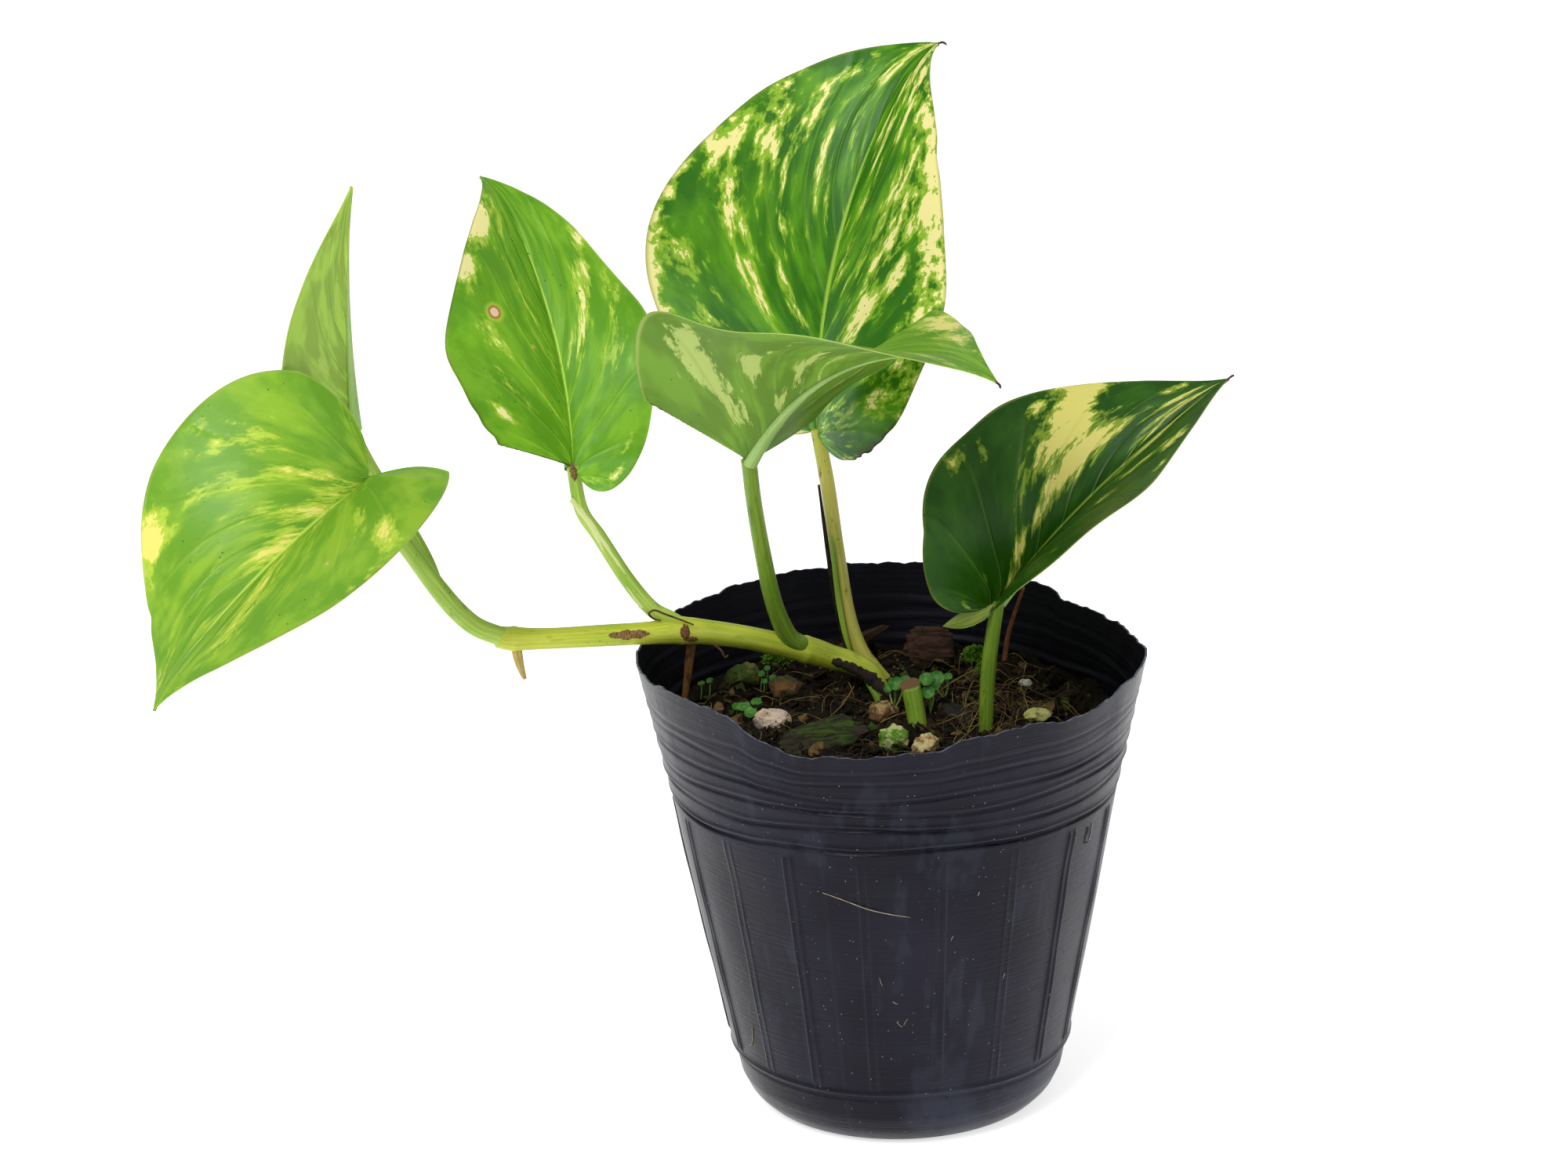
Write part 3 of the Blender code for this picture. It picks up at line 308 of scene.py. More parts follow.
# Marks on the pot's wall, as lines of (degrees round the pot, height).
DRY_HAIR = ((-111, 70), (-105, 68.3), (-99, 66.5), (-93, 65), (-88.2, 64.2))
LOW_HAIR = ((-151, 20.5), (-148.6, 21.8), (-147, 24.5), (-146.2, 27))
NICK = (((-32.9, 76.6), (-32.9, 72.2)), ((-32.9, 72.4), (-30.6, 72.0)), ((-32.2, 76.4), (-32.2, 74.4)))
# NICK_GLINT is a painted glint, a pale line beside the nick.
NICK_GLINT = ((-30.4, 76.9), (-30.2, 74.5), (-30.4, 72.4))
SCRATCHES = (  # degrees and height where each starts, then how far it runs each way
    (-92.5, 36, 1.6, -1.5), (-90.4, 35.0, 1.2, 1.7), (-93.5, 41.5, 1.4, -0.7), (-97, 48, 0.7, -2.2),
    (-60, 44, 0.5, 1.4), (-77, 57, 0.6, 1.2), (-121, 60, 0.5, 1.2), (-70, 68, 0.4, 1.0),
)

# Small things on the soil
CRUMBS = 4200
CHIPS = 240
FIBRES = 330
LONG_ROOT = (
    (-3, -1.5, 94.5), (0.5, 0.6, 95.3), (5.2, 4.0, 95.6), (9.1, 8.2, 96.6), (15.1, 14.5, 98.6),
    (21.9, 19.8, 100.0), (26, 21, 99.2), (30, 24, 95.0),
)
GRASS = (
    ((-15, 9, 92.5), (-11.6, 11, 95), (-8.7, 12.5, 99)), ((-14, 13, 92.5), (-11, 13, 95.5), (-9.5, 11, 97.5)),
    ((16, -10, 91), (18.5, -5, 94.5), (22, -2, 100)), ((13, -12, 91), (17, -8, 93), (21, -3, 94.5)),
    ((10, 36, 95), (12, 30, 99), (17, 33, 95)), ((31, 30, 93), (33, 20, 101), (31, 12, 96)),
    ((28, 14, 93), (31, 8, 98.5), (33, 2, 93)), ((24, 20, 93), (20, 13, 99), (17, 8, 93)),
)
WEEDS = (  # middle of the leaf above the soil (x, y, height) and its radius
    (-45.5, 18.5, 4.6, 0.9), (-43.4, 18.1, 4.8, 0.9), (-35.2, 9.5, 2.6, 1.5), (-32.3, 12.0, 2.8, 1.4),
    (-37.0, 12.5, 2.2, 1.3), (-33.8, 7.2, 1.8, 1.5), (-31.0, 26.5, 4.6, 0.9), (-29.5, 28.0, 5.2, 0.8),
    (-30.3, 24.8, 4.0, 0.8), (-28.2, 26.0, 4.2, 0.9),
)

# Strips: piece, the node it stands for, its looks; then each strip's line, its width and what else it needs.
STRIP_THICKNESS = 0.12
STRIPS = {
    "leaf_right_lobe": (None, ("lobe_pale",), ((
        ((12.2, -4.4, 119), (15.4, -4.6, 119.8), (19, -4.6, 121), (22.6, -4, 122.4), (25.6, -2.6, 123.8)),
        4.2, dict(seed=6, ragged=0.10, curl=0.15, taper=-0.44),
    ),)),
    "sheath_rear_fine": ("sheath_rear", ("sheath_black", "strip_green"), ((
        ((-9.4, 29.2, 101), (-11.2, 29.4, 107), (-12.9, 30.4, 118), (-14.2, 31.4, 130), (-15.6, 33.4, 143.5)),
        1.1, dict(seed=1),
    ), (
        ((-9.0, 28.9, 101), (-10.6, 29.0, 108), (-12.0, 30.0, 118), (-13.0, 31.0, 131)),
        1.3, dict(slot=1, seed=2, ragged=0.1),
    ))),
    "sheath_left_fine": ("sheath_left", ("sheath_papery",), ((
        (
            (-58.6, 6.2, 122.6), (-61.8, 6.2, 128.8), (-66.4, 6.2, 137.2), (-70.6, 6.2, 144.6),
            (-74.2, 6.2, 150),
        ),
        1.7, dict(seed=3, ragged=0.22, curl=0.25, taper=0.6),
    ),)),
    "stem_sheath_fine": ("stem_sheath", ("sheath_black",), ((
        ((-13.8, 20.6, 102.6), (-9.6, 19.6, 101.2), (-5, 18.6, 98.6), (-1.5, 16.6, 96), (2.5, 14.4, 93.8)),
        2.9, dict(seed=4, ragged=0.5, curl=0.7),
    ),)),
}
# Curled ends of the torn sheath at the vine's joint
SHORT_CURL = ((-42.5, 4.6, 113.8), (-40.4, 4.6, 112.0), (-39.4, 4.4, 110.2), (-38.6, 4.6, 110.6))
LONG_CURL = (
    (-46.5, 4.2, 118.6), (-50.0, 4.0, 120.2), (-53.4, 3.6, 121.8), (-55.6, 3.4, 122.8), (-57.0, 3.6, 122.0),
    (-56.2, 3.8, 120.8), (-54.2, 3.8, 120.0),
)

# Looks, with colours as screen values (0 to 255)
LEAF_LOOKS = {
    # Look and slot; dark, middle and lime green, cream, underside, its pale parts; share of cream, contrast.
    "leaf_rear": (
        "leaf_cream_splashed", "leaf_cream_splashed", (44, 104, 10), (88, 148, 18), (146, 184, 48),
        (236, 226, 150), (92, 136, 40), (174, 186, 92), 0.39, 2.3,
    ),
    "leaf_left": (
        "leaf_bright_left", "leaf_bright", (90, 148, 24), (118, 172, 34), (168, 200, 66),
        (238, 230, 156), (118, 160, 54), (172, 192, 90), 0.34, 1.5,
    ),
    "leaf_drooping": (
        "leaf_bright_drooping", "leaf_bright", (104, 156, 38), (138, 180, 48), (178, 204, 66),
        (228, 220, 112), (124, 166, 60), (176, 196, 96), 0.36, 1.3,
    ),
    "leaf_upright": (
        "leaf_underside_upright", "leaf_underside", (110, 156, 48), (138, 182, 62), (176, 204, 88),
        (210, 210, 110), (170, 206, 86), (190, 214, 104), 0.36, 1.0,
    ),
    "leaf_front": (
        "leaf_underside_front", "leaf_underside", (92, 146, 30), (124, 172, 46), (168, 198, 80),
        (226, 220, 130), (112, 154, 48), (184, 200, 112), 0.43, 1.8,
    ),
    "leaf_right": (
        "leaf_dark", "leaf_dark", (28, 72, 4), (44, 90, 10), (132, 158, 46),
        (214, 206, 112), (70, 108, 34), (156, 170, 84), 0.28, 1.6,
    ),
}
STEM_LOOKS = {
    # Pale and green colour, the colour of painted shade, dirt; share of stains.
    "midrib_rear": ((196, 206, 120), (150, 180, 70), (120, 150, 50), (90, 80, 30)),
    "midrib_pale": ((168, 196, 118), (140, 178, 92), (118, 158, 70), (96, 104, 50)),
    "lobe_pale": ((150, 166, 70), (84, 118, 34), (120, 140, 52), (70, 56, 26), 0.06),
    "stem_yellow_green": ((196, 200, 70), (158, 178, 44), (126, 150, 34), (100, 84, 26)),
    "stalk_bright": ((172, 196, 84), (130, 168, 48), (106, 148, 36), (100, 100, 36)),
    "stalk_green": ((132, 162, 52), (96, 132, 34), (74, 108, 22), (72, 70, 24)),
    "stalk_yellow": ((206, 198, 96), (170, 176, 58), (156, 152, 52), (112, 70, 26), 0.08),
    "sheath_papery": ((204, 210, 146), (186, 198, 122), (168, 184, 100), (150, 146, 90)),
    "strip_green": ((150, 180, 60), (110, 150, 40), (90, 130, 30), (60, 50, 20)),
}
DRY_LOOKS = {
    "cut_wood": ((96, 70, 46), (142, 112, 78), (58, 40, 26)),
    "root_tan_fine": ((184, 158, 84), (206, 184, 114), (150, 122, 60)),
    "root_brown": ((92, 62, 28), (122, 84, 38), (60, 40, 18)),
    "strand_red": ((112, 62, 36), (146, 92, 56), (78, 44, 28)),
    "sheath_black": ((24, 18, 14), (52, 40, 30), (14, 11, 9)),
    "sheath_brown": ((86, 58, 34), (124, 88, 52), (52, 34, 20)),
}
PLAIN_LOOKS = {
    # Two colours, roughness; then, where it isn't the usual one, grain, relief and specular level.
    # The pot's lip: a pale painted highlight on the black plastic's thin edge.
    "pot_edge": ((104, 108, 124), (50, 54, 68), 0.45),
    "dust_pale": ((160, 150, 120), (120, 112, 92), 0.8),
    "nick_dark": ((6, 6, 8), (12, 12, 16), 0.7),
    # Pale painted glint beside the nick.
    "nick_pale": ((150, 156, 170), (110, 116, 130), 0.5),
    "soil_dark": ((15, 11, 6), (32, 24, 14), 0.95, 500, 0.8, 0.15),
    "crumb_brown": ((28, 21, 12), (56, 42, 25), 0.95, 900, 0.3, 0.15),
    "crumb_tan": ((78, 60, 34), (112, 88, 54), 0.9, 900, 0.3, 0.2),
    "crumb_moss": ((36, 46, 12), (64, 76, 22), 0.9, 900, 0.3, 0.2),
    "fibre_straw": ((138, 116, 56), (96, 78, 34), 0.8, 600),
    "fibre_brown": ((74, 50, 24), (50, 34, 17), 0.85, 600),
    "fibre_dark": ((50, 36, 20), (76, 56, 30), 0.85, 600),
    "moss_leaf": ((52, 92, 16), (104, 146, 36), 0.85, 500, 0.2, 0.2),
    "seedling_stalk": ((150, 176, 92), (120, 150, 70), 0.5, 500, 0.1),
}
BARK_LOOKS = {
    # One for each piece of bark, in the same order: three colours, share of moss.
    "bark_mossy": ((26, 24, 16), (52, 46, 30), (16, 14, 10), 0.5),
    "bark_reddish": ((40, 26, 19), (76, 50, 38), (22, 15, 11)),
    "bark_glossy": ((24, 22, 18), (40, 36, 30), (14, 12, 10)),
    "bark_dark": ((40, 27, 17), (66, 45, 30), (24, 17, 11)),
}
STALK_LOOKS = {
    # Look and slot of each stalk.
    "vine_stem": ("stem_yellow_green", "stem_green"),
    "petiole_rear": ("stalk_yellow", "stem_green"),
    "petiole_front": ("stalk_green", "stem_green"),
    "petiole_left": ("stalk_bright", "stem_green"),
    "petiole_drooping": ("stalk_bright", "stem_green"),
    "petiole_upright": ("stalk_bright", "stem_green"),
    "petiole_right": ("stalk_green", "stem_green"),
    "side_shoot": ("stalk_green", "stem_green"),
    "cut_stub": ("stalk_green", "stem_green"),
    "aerial_root_outer": ("root_tan_fine", "root_tan"),
    "aerial_root_inner": ("root_brown", "root_tan"),
    "dry_strand": ("strand_red", "root_tan"),
}

# Stage
FLOOR_GLOW = 0.62
SKY_STRENGTH = 0.45
LIT_POINT = (0, 0, 0.12)
# Each light's place, size and power
LIGHTS = (("key", (-0.55, -0.9, 1.25), 0.8, 15.0), ("fill", (0.9, -0.7, 0.55), 0.9, 2.0))
CAMERA_LENS = 105
CAMERA_PITCH = 18
CAMERA_ROLL = -1.9
CAMERA_PLACE = (-24.8, -1025.2, 461.5)
WHITE = (1.0, 1.0, 1.0, 1.0)


def colour(red, green, blue):
    """A colour given in screen values (0 to 255), as Blender's linear values."""
    linear = [((c / 255 + 0.055) / 1.055) ** 2.4 if c > 10 else c / 255 / 12.92 for c in (red, green, blue)]
    return (*linear, 1.0)


# Shader building

class Value:
    """One output of a shader node, which can be used in plain formulas."""

    def __init__(self, look, socket):
        self.look, self.socket = look, socket

    def maths(self, operation, *others):
        return self.look.node("ShaderNodeMath", {"operation": operation}, dict(enumerate((self, *others))))

    def __add__(self, other):
        return self.maths("ADD", other)

    def __mul__(self, other):
        return self.maths("MULTIPLY", other)

    def __sub__(self, other):
        return self.maths("SUBTRACT", other)

    def __rsub__(self, other):
        return self.look.node("ShaderNodeMath", {"operation": "SUBTRACT"}, {0: other, 1: self})

    def __truediv__(self, other):
        return self.maths("DIVIDE", other)

    def __pow__(self, other):
        return self.maths("POWER", other)

    __radd__ = __add__
    __rmul__ = __mul__


class Look:
    """A material being built around one Principled shader."""

    def __init__(self, name, **constants):
        self.material = bpy.data.materials.new(name)
        self.material.use_nodes = True
        self.tree = self.material.node_tree
        self.shader = self.tree.nodes["Principled BSDF"]
        self.set(**constants)

    def set(self, **sockets):
        """Puts values on the shader's sockets; an underscore stands for a space."""
        for name, value in sockets.items():
            self.put(self.shader.inputs[name.replace("_", " ")], value)

    def put(self, socket, value):
        if isinstance(value, Value):
            self.tree.links.new(value.socket, socket)
        else:
            socket.default_value = value

    def node(self, kind, settings, inputs, output=0):
        made = self.tree.nodes.new(kind)
        for key, value in settings.items():
            setattr(made, key, value)
        for key, value in inputs.items():
            self.put(made.inputs[key], value)
        return Value(self, made.outputs[output])

    def attribute(self, name, output="Fac"):
        return self.node("ShaderNodeAttribute", {"attribute_name": name}, {}, output)

    def parts(self, vector):
        split = self.node("ShaderNodeSeparateXYZ", {}, {0: vector}).socket.node
        return [Value(self, socket) for socket in split.outputs]

    def vector(self, x, y, z):
        return self.node("ShaderNodeCombineXYZ", {}, {0: x, 1: y, 2: z})

    def place(self):
        """The point's place on the object, in metres."""
        return self.node("ShaderNodeTexCoord", {}, {}, "Object")

    def stretch(self, vector, x, y, z):
        return self.node("ShaderNodeVectorMath", {"operation": "MULTIPLY"}, {0: vector, 1: (x, y, z)})

    def noise(self, vector, scale, detail=3.0, roughness=0.55):
        inputs = {"Vector": vector, "Scale": scale, "Detail": detail, "Roughness": roughness}
        return self.node("ShaderNodeTexNoise", {}, inputs, "Fac")

    def cells(self, vector, scale):
        """Distance to the nearest of many scattered points."""
        return self.node("ShaderNodeTexVoronoi", {}, {"Vector": vector, "Scale": scale}, "Distance")

    def step(self, value, low, high):
        """0 below low, 1 above high, eased between; low may be above high, which turns it round."""
        settings = {"interpolation_type": "SMOOTHSTEP"}
        return self.node("ShaderNodeMapRange", settings, {0: value, 1: low, 2: high})

    def mix(self, share, first, second):
        """Blends two colours, each a value or given in screen values."""
        settings = {"data_type": "RGBA", "clamp_factor": True}
        first, second = (end if isinstance(end, Value) else colour(*end) for end in (first, second))
        return self.node("ShaderNodeMix", settings, {0: share, 6: first, 7: second}, 2)

    def bump(self, height, distance, strength=1.0):
        """Relief from a height; distance is in millimetres."""
        inputs = {"Height": height, "Distance": distance * MM, "Strength": strength}
        return self.node("ShaderNodeBump", {}, inputs)


# Meshes

class Shape:
    """Points and faces gathered for one mesh, with named values at the points."""

    def __init__(self):
        self.points, self.faces, self.slots, self.values, self.count = [], [], [], [], 0

    def add(self, points, faces, slot=0, **values):
        points = np.asarray(points, float).reshape(-1, 3)
        self.points.append(points)
        self.faces += (np.asarray(faces) + self.count).tolist()
        self.slots += [slot] * len(faces)
        self.values.append({key: np.asarray(value, float) for key, value in values.items()})
        self.count += len(points)

    def object(self, name, *looks, merge=0.0):
        mesh = bpy.data.meshes.new(name)
        points = np.concatenate(self.points) * MM
        mesh.from_pydata(points.tolist(), [], self.faces)
        mesh.polygons.foreach_set("material_index", self.slots)
        for key in sorted({key for values in self.values for key in values}):
            wide = max(np.ndim(values[key]) for values in self.values if key in values) > 1
            kind, field, width = ("FLOAT_VECTOR", "vector", 3) if wide else ("FLOAT", "value", 1)
            blocks = []
            for block, values in zip(self.points, self.values):
                value = values.get(key, np.zeros(width))
                blocks.append(np.broadcast_to(value.reshape(-1, width), (len(block), width)))
            mesh.attributes.new(key, kind, "POINT").data.foreach_set(field, np.concatenate(blocks).ravel())
        if merge:
            bm = bmesh.new()
            bm.from_mesh(mesh)
            bmesh.ops.remove_doubles(bm, verts=bm.verts, dist=merge * MM)
            bm.to_mesh(mesh)
            bm.free()
        mesh.shade_smooth()
        for look in looks:
            mesh.materials.append(look.material)
        made = bpy.data.objects.new(name, mesh)
        bpy.context.scene.collection.objects.link(made)
        return made


def grid(first, second):
    """Two tables that together run over every pair of the values."""
    return np.meshgrid(first, second, indexing="ij")


def circle(count):
    """Angles spread evenly round a full turn."""
    return np.linspace(0, 2 * pi, count, endpoint=False)


def joined(*stretches):
    """Rising values over neighbouring stretches, each given as its start, end and count."""
    return np.unique(np.concatenate([np.linspace(*stretch) for stretch in stretches]))


def triples(*values):
    """Three values side by side for every point."""
    return np.stack(np.broadcast_arrays(*values), -1)


def swell(distance, width):
    """1 at no distance, falling smoothly towards 0 over about two widths."""
    return np.exp(-((distance / width) ** 2))


def ramp(value, start, length):
    """0 up to the start, then rising evenly to 1 over the length."""
    return np.clip((value - start) / length, 0, 1)


def grid_faces(rows, columns, closed=False, turned=False):
    """Four-sided faces of a grid of points; closed joins the last column to the first."""
    row, column = grid(np.arange(rows - 1), np.arange(columns if closed else columns - 1))
    beside = (column + 1) % columns
    near, far = row * columns, (row + 1) * columns
    faces = np.stack([near + column, near + beside, far + beside, far + column], -1).reshape(-1, 4)
    return faces[:, ::-1] if turned else faces


def spline(points, places):
    """The smooth curve through the points, at places from 0 to 1."""
    points = np.asarray(points, float)
    padded = np.concatenate([[2 * points[0] - points[1]], points, [2 * points[-1] - points[-2]]])
    places = np.asarray(places, float) * (len(points) - 1)
    k = np.clip(places.astype(int), 0, len(points) - 2)
    t = (places - k)[..., None]
    a, b, c, d = (padded[k + i] for i in range(4))
    return 0.5 * (2 * b + (c - a) * t + (2 * a - 5 * b + 4 * c - d) * t**2 + (3 * b - a - 3 * c + d) * t**3)


def unit(vectors):
    return vectors / np.linalg.norm(vectors, axis=-1, keepdims=True)


def rough(points, scale, seed=0.0):
    """Smooth noise from -1 to 1 at each point."""
    offset = Vector((seed * 7.13, seed * 3.71, seed * 1.37))
    return np.array([noise.noise(Vector(p) * scale + offset) for p in np.asarray(points).reshape(-1, 3)])


def mound(x, y):
    """Height of the top of the soil at a place."""
    lumps = 1.1 * np.sin(0.21 * x + 1.3) * np.cos(0.17 * y) + 0.6 * np.sin(0.43 * x - 0.31 * y)
    return POT_HEIGHT - SOIL_DEPTH + SOIL_RISE * y + lumps


# Leaves

def midrib_frames(leaf):
    heading, climb, roll = (radians(a) for a in leaf["aim"])
    curl, sweep, twist, tip_curl = (radians(a) for a in leaf["bend"])
    forward = Vector((cos(climb) * cos(heading), cos(climb) * sin(heading), sin(climb)))
    up = Vector((-sin(climb) * cos(heading), -sin(climb) * sin(heading), cos(climb)))
    up = up * cos(roll) + forward.cross(up) * sin(roll)
    place = Vector(leaf["base"])
    step = leaf["length"] / MIDRIB_STEPS
    frames = []
    for k in range(MIDRIB_STEPS + 1):
        right = forward.cross(up)
        frames.append((place[:], forward[:], right[:], up[:]))
        place = place + forward * step
        share = (k + 0.5) / MIDRIB_STEPS
        bend = (curl + tip_curl * 8 * max(0.0, share - 0.75) / 0.25) / MIDRIB_STEPS
        ahead = (forward + up * bend + right * sweep / MIDRIB_STEPS).normalized()
        up = up - forward * bend + right * twist / MIDRIB_STEPS
        up = (up - ahead * up.dot(ahead)).normalized()
        forward = ahead
    return np.array(frames)


def along_midrib(frames, share):
    """Place, forward, right and up at shares of the midrib's length."""
    k = np.minimum((share * MIDRIB_STEPS).astype(int), MIDRIB_STEPS - 1)
    t = (share * MIDRIB_STEPS - k)[..., None, None]
    found = frames[k] * (1 - t) + frames[k + 1] * t
    return [found[..., i, :] for i in range(4)]


def blade_points(leaf, frames, side, along, out):
    """Places of points of the flat leaf: along in lengths, out in half widths."""
    half = 0 if side < 0 else 1
    along = np.where(along < 0, along * leaf["lobe"][half], along)
    share = np.clip(along, 0.0, 1.0)
    place, forward, right, up = along_midrib(frames, share)
    place = place + forward * (np.minimum(along, 0.0) * leaf["length"])[..., None]
    width = leaf["width"][half]
    at_base, at_tip = leaf["fold"][half]
    fold = np.radians(at_base + (at_tip - at_base) * share)
    bow = radians(leaf["cup"][half] or 0.01) / width
    reach = out * width
    across = (np.sin(fold + bow * reach) - np.sin(fold)) / bow
    rise = (np.cos(fold) - np.cos(fold + bow * reach)) / bow
    height, number, start = leaf["wave"]
    rise = rise + height * np.sin(2 * pi * (number * share + start + (0.5 if side > 0 else 0))) * out**2
    return place + right * (side * across)[..., None] + up * rise[..., None]


def vein_root(s):
    return np.where(s > 0.999, 1.0, np.clip((s - 0.12) / 0.88, 0.0, 1.0) ** 1.15 * 0.97)


def vein_of(s, v):
    """Which vein a point lies on: veins leave the midrib low and sweep up to the edge."""
    return s + 0.38 * (1 - v) ** 2


def worn_edge(name, side, s):
    """How far the blade reaches at each place along its edge, and how burnt the edge is there."""
    reach, burn = np.ones_like(s), np.zeros_like(s)
    for on_side, middle, half_length, depth in BITES.get(name, ()):
        if on_side == side:
            bite = swell(s - middle, half_length)
            reach -= depth * bite * (1 + 0.35 * rough(triples(s * 60, 0, 0), 1.0, middle))
            burn += bite * (depth > 0.05)
    reach += 0.012 * rough(triples(s * 14, side, 0), 1.0, LEAVES[name]["length"])
    return reach[:, None], burn[:, None]


def upper_normals(skin, side, upward):
    """Unit normals of half a blade, on its upper side; upward stands in where the blade comes to a point."""
    normal = np.cross(np.gradient(skin, axis=0), np.gradient(skin, axis=1)) * side
    length = np.linalg.norm(normal, axis=-1, keepdims=True)
    normal = np.where(length > 1e-7, normal / np.maximum(length, 1e-7), upward)
    facing = np.sum(normal * upward, axis=-1, keepdims=True)
    return np.where(facing < -0.2, -normal, normal)


def cream_paint(name, side, vein, out):
    """Strength of the cream patches at each point of half a blade."""
    paint = np.zeros_like(vein)
    for at, middle, across, long, strength in PATCHES[name].get(side, ()):
        off = ((vein - vein_of(at, middle)) / across) ** 2 + ((out - middle) / long) ** 2
        paint = np.maximum(paint, strength * np.exp(-0.6 * off))
    return paint


def spot_distance(name, side, skin):
    """Distance from the nearest dried spot, in radii of the spot."""
    rows, columns = skin.shape[:2]
    nearest = np.full((rows, columns), 50.0)
    for on_side, at, out, radius in SPOTS.get(name, ()):
        if on_side == side:
            middle = skin[int(at * (rows - 1)), int(out * (columns - 1))]
            nearest = np.minimum(nearest, np.linalg.norm(skin - middle, axis=-1) / radius)
    return nearest


def make_leaf(name, blade, rib):
    """A leaf with an upper and a lower skin, quilted between its veins, and the midrib standing out below."""
    leaf = LEAVES[name]
    frames = midrib_frames(leaf)
    burnt, end_thread = TIPS.get(name, (0.0, ()))
    rows, columns = ((150, 40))
    s, v = grid(np.linspace(0, 1, rows), np.linspace(0, 1, columns))
    edge = spline(LEAF_OUTLINE, s[:, 0])
    root = vein_root(s)
    shape = Shape()
    for side in (-1, 1):
        reach, burn = worn_edge(name, side, s[:, 0])
        out = v * reach
        along = root + (edge[:, :1] - root) * out
        middle = blade_points(leaf, frames, side, along, edge[:, 1:] * out)
        normal = upper_normals(middle, side, along_midrib(frames, root)[3])
        vein = vein_of(s, out)
        quilt = QUILT * np.cos(2 * pi * VEINS * vein) * np.sin(pi * np.clip(out, 0, 1)) * (1 - s**4)
        channel = -CHANNEL_DEPTH * swell(out * leaf["width"][side > 0], 1.3)
        middle = middle + normal * (quilt + channel)[..., None]
        scorched = burn * ramp(v, 0.93, 1 / 14) * 0.9
        if burnt:
            scorched = np.maximum(scorched, ramp(along, 1 - burnt, burnt))
        paint = cream_paint(name, side, vein, out)
        veins = triples(vein, out, s + side * 3.0)
        spot = spot_distance(name, side, middle).ravel()
        half_thickness = (0.28 - 0.16 * v**6)[..., None]
        for under in (0, 1):
            skin = middle + normal * half_thickness * (-1 if under else 1)
            faces = grid_faces(rows, columns, turned=(side > 0) != bool(under))
            shape.add(skin, faces, veins=veins, marks=triples(paint, under, scorched), spot=spot)
        upper = shape.count - 2 * rows * columns + np.arange(rows) * columns + columns - 1
        lower = upper + rows * columns
        rim = np.stack([upper[:-1], upper[1:], lower[1:], lower[:-1]], -1)
        shape.faces += (rim if side < 0 else rim[:, ::-1]).tolist()
        shape.slots += [0] * len(rim)
    if end_thread:
        place, axes = frames[-1][0], frames[-1][1:]
        line = [place - axes[0], *(place + np.array(offset) @ axes for offset in end_thread)]
        thread(shape, line, 0.6, marks=np.array([0.0, 0.0, 1.0]))
    add_midrib(shape, leaf, frames)
    return shape.object(name + "_fine", blade, rib, merge=0.002)


def add_midrib(shape, leaf, frames):
    """The ridge under the blade, carried on from the stalk and thinning towards the tip."""
    rows, sides = 40, 12
    share = np.linspace(0.0, 0.93, rows)
    place, _, right, up = along_midrib(frames, share)
    half = (1.6 * (1 - share) ** 1.8 + 0.14)[:, None]
    turn = circle(sides)
    ring = right[:, None] * (np.cos(turn) * half)[..., None]
    ring = ring + up[:, None] * (np.sin(turn) * half * 0.75 - half * 0.62 - 0.3)[..., None]
    stalk = triples((share * leaf["length"])[:, None], turn, 0)
    shape.add(place[:, None] + ring, grid_faces(rows, sides, closed=True), slot=1, stalk=stalk)


# Stalks

def stalk_place(name, share, turn, lift=0.0):
    """Places on a stalk's skin: share of its length, turn in radians from the front, lift above the skin."""
    line = STALKS[name]
    found = spline(line, share)
    ahead = spline(line, np.minimum(share + 0.002, 1.0)) - spline(line, np.maximum(share - 0.002, 0.0))
    ahead = unit(ahead[..., :3])
    front = np.array([0.0, -1.0, 0.0]) + 0 * ahead
    front = unit(front - ahead * np.sum(front * ahead, axis=-1, keepdims=True))
    beside = np.cross(ahead, front)
    radius = found[..., 3] / 2
    if name == "vine_stem":
        for ring in NODE_RINGS:
            radius = radius + 0.22 * swell(np.linalg.norm(found[..., :3] - ring, axis=-1), 0.9)
    ridged = 1 + 0.025 * np.cos(3 * turn + 0.7) + 0.015 * np.cos(7 * turn)
    if name.startswith("petiole"):
        ridged = ridged - 0.10 * swell(turn - 1.9, 0.35)
    outward = front * np.cos(turn)[..., None] + beside * np.sin(turn)[..., None]
    return found[..., :3] + outward * (radius * ridged + lift)[..., None]


def stalk_length(name):
    line = spline(STALKS[name], np.linspace(0, 1, 60))[:, :3]
    return float(np.linalg.norm(np.diff(line, axis=0), axis=1).sum())


def make_stalk(name, look, cut=None):
    """A tube along the stalk, closed by a dome or, with cut, by a rough slanted end in a second look."""
    length = stalk_length(name)
    rows, sides = max(12, int(length * 1.3)), 24
    share, turn = grid(np.linspace(0, 1, rows), circle(sides))
    skin = stalk_place(name, share, turn)
    if cut:
        skin[-1, :, 2] += 0.5 * (skin[-1, :, 1] - skin[-1, :, 1].mean())
    shape = Shape()
    shape.add(skin, grid_faces(rows, sides, closed=True), stalk=triples(share * length, turn, skin[..., 2]))
    for row, slot in ((0, 0), (rows - 1, 1 if cut else 0)):
        ring = skin[row]
        middle = ring.mean(axis=0)
        outward = unit(middle - skin[1 if row == 0 else rows - 2].mean(axis=0))
        rings = []
        for t in (1.0, 0.85, 0.6, 0.3, 0.02):
            rise = np.full(sides, 0.3 * (1 - t * t) ** 0.5)
            if cut and row:
                rise = 0.25 * rough(ring * t, 0.9, row)
            rings.append(middle + (ring - middle) * t + outward * rise[:, None])
        faces = grid_faces(5, sides, closed=True, turned=row == 0)
        shape.add(np.array(rings), faces, slot=slot, stalk=np.array([length, 0.0, 0.0]))
    return shape.object(name + "_fine", look, *([cut] if cut else []))


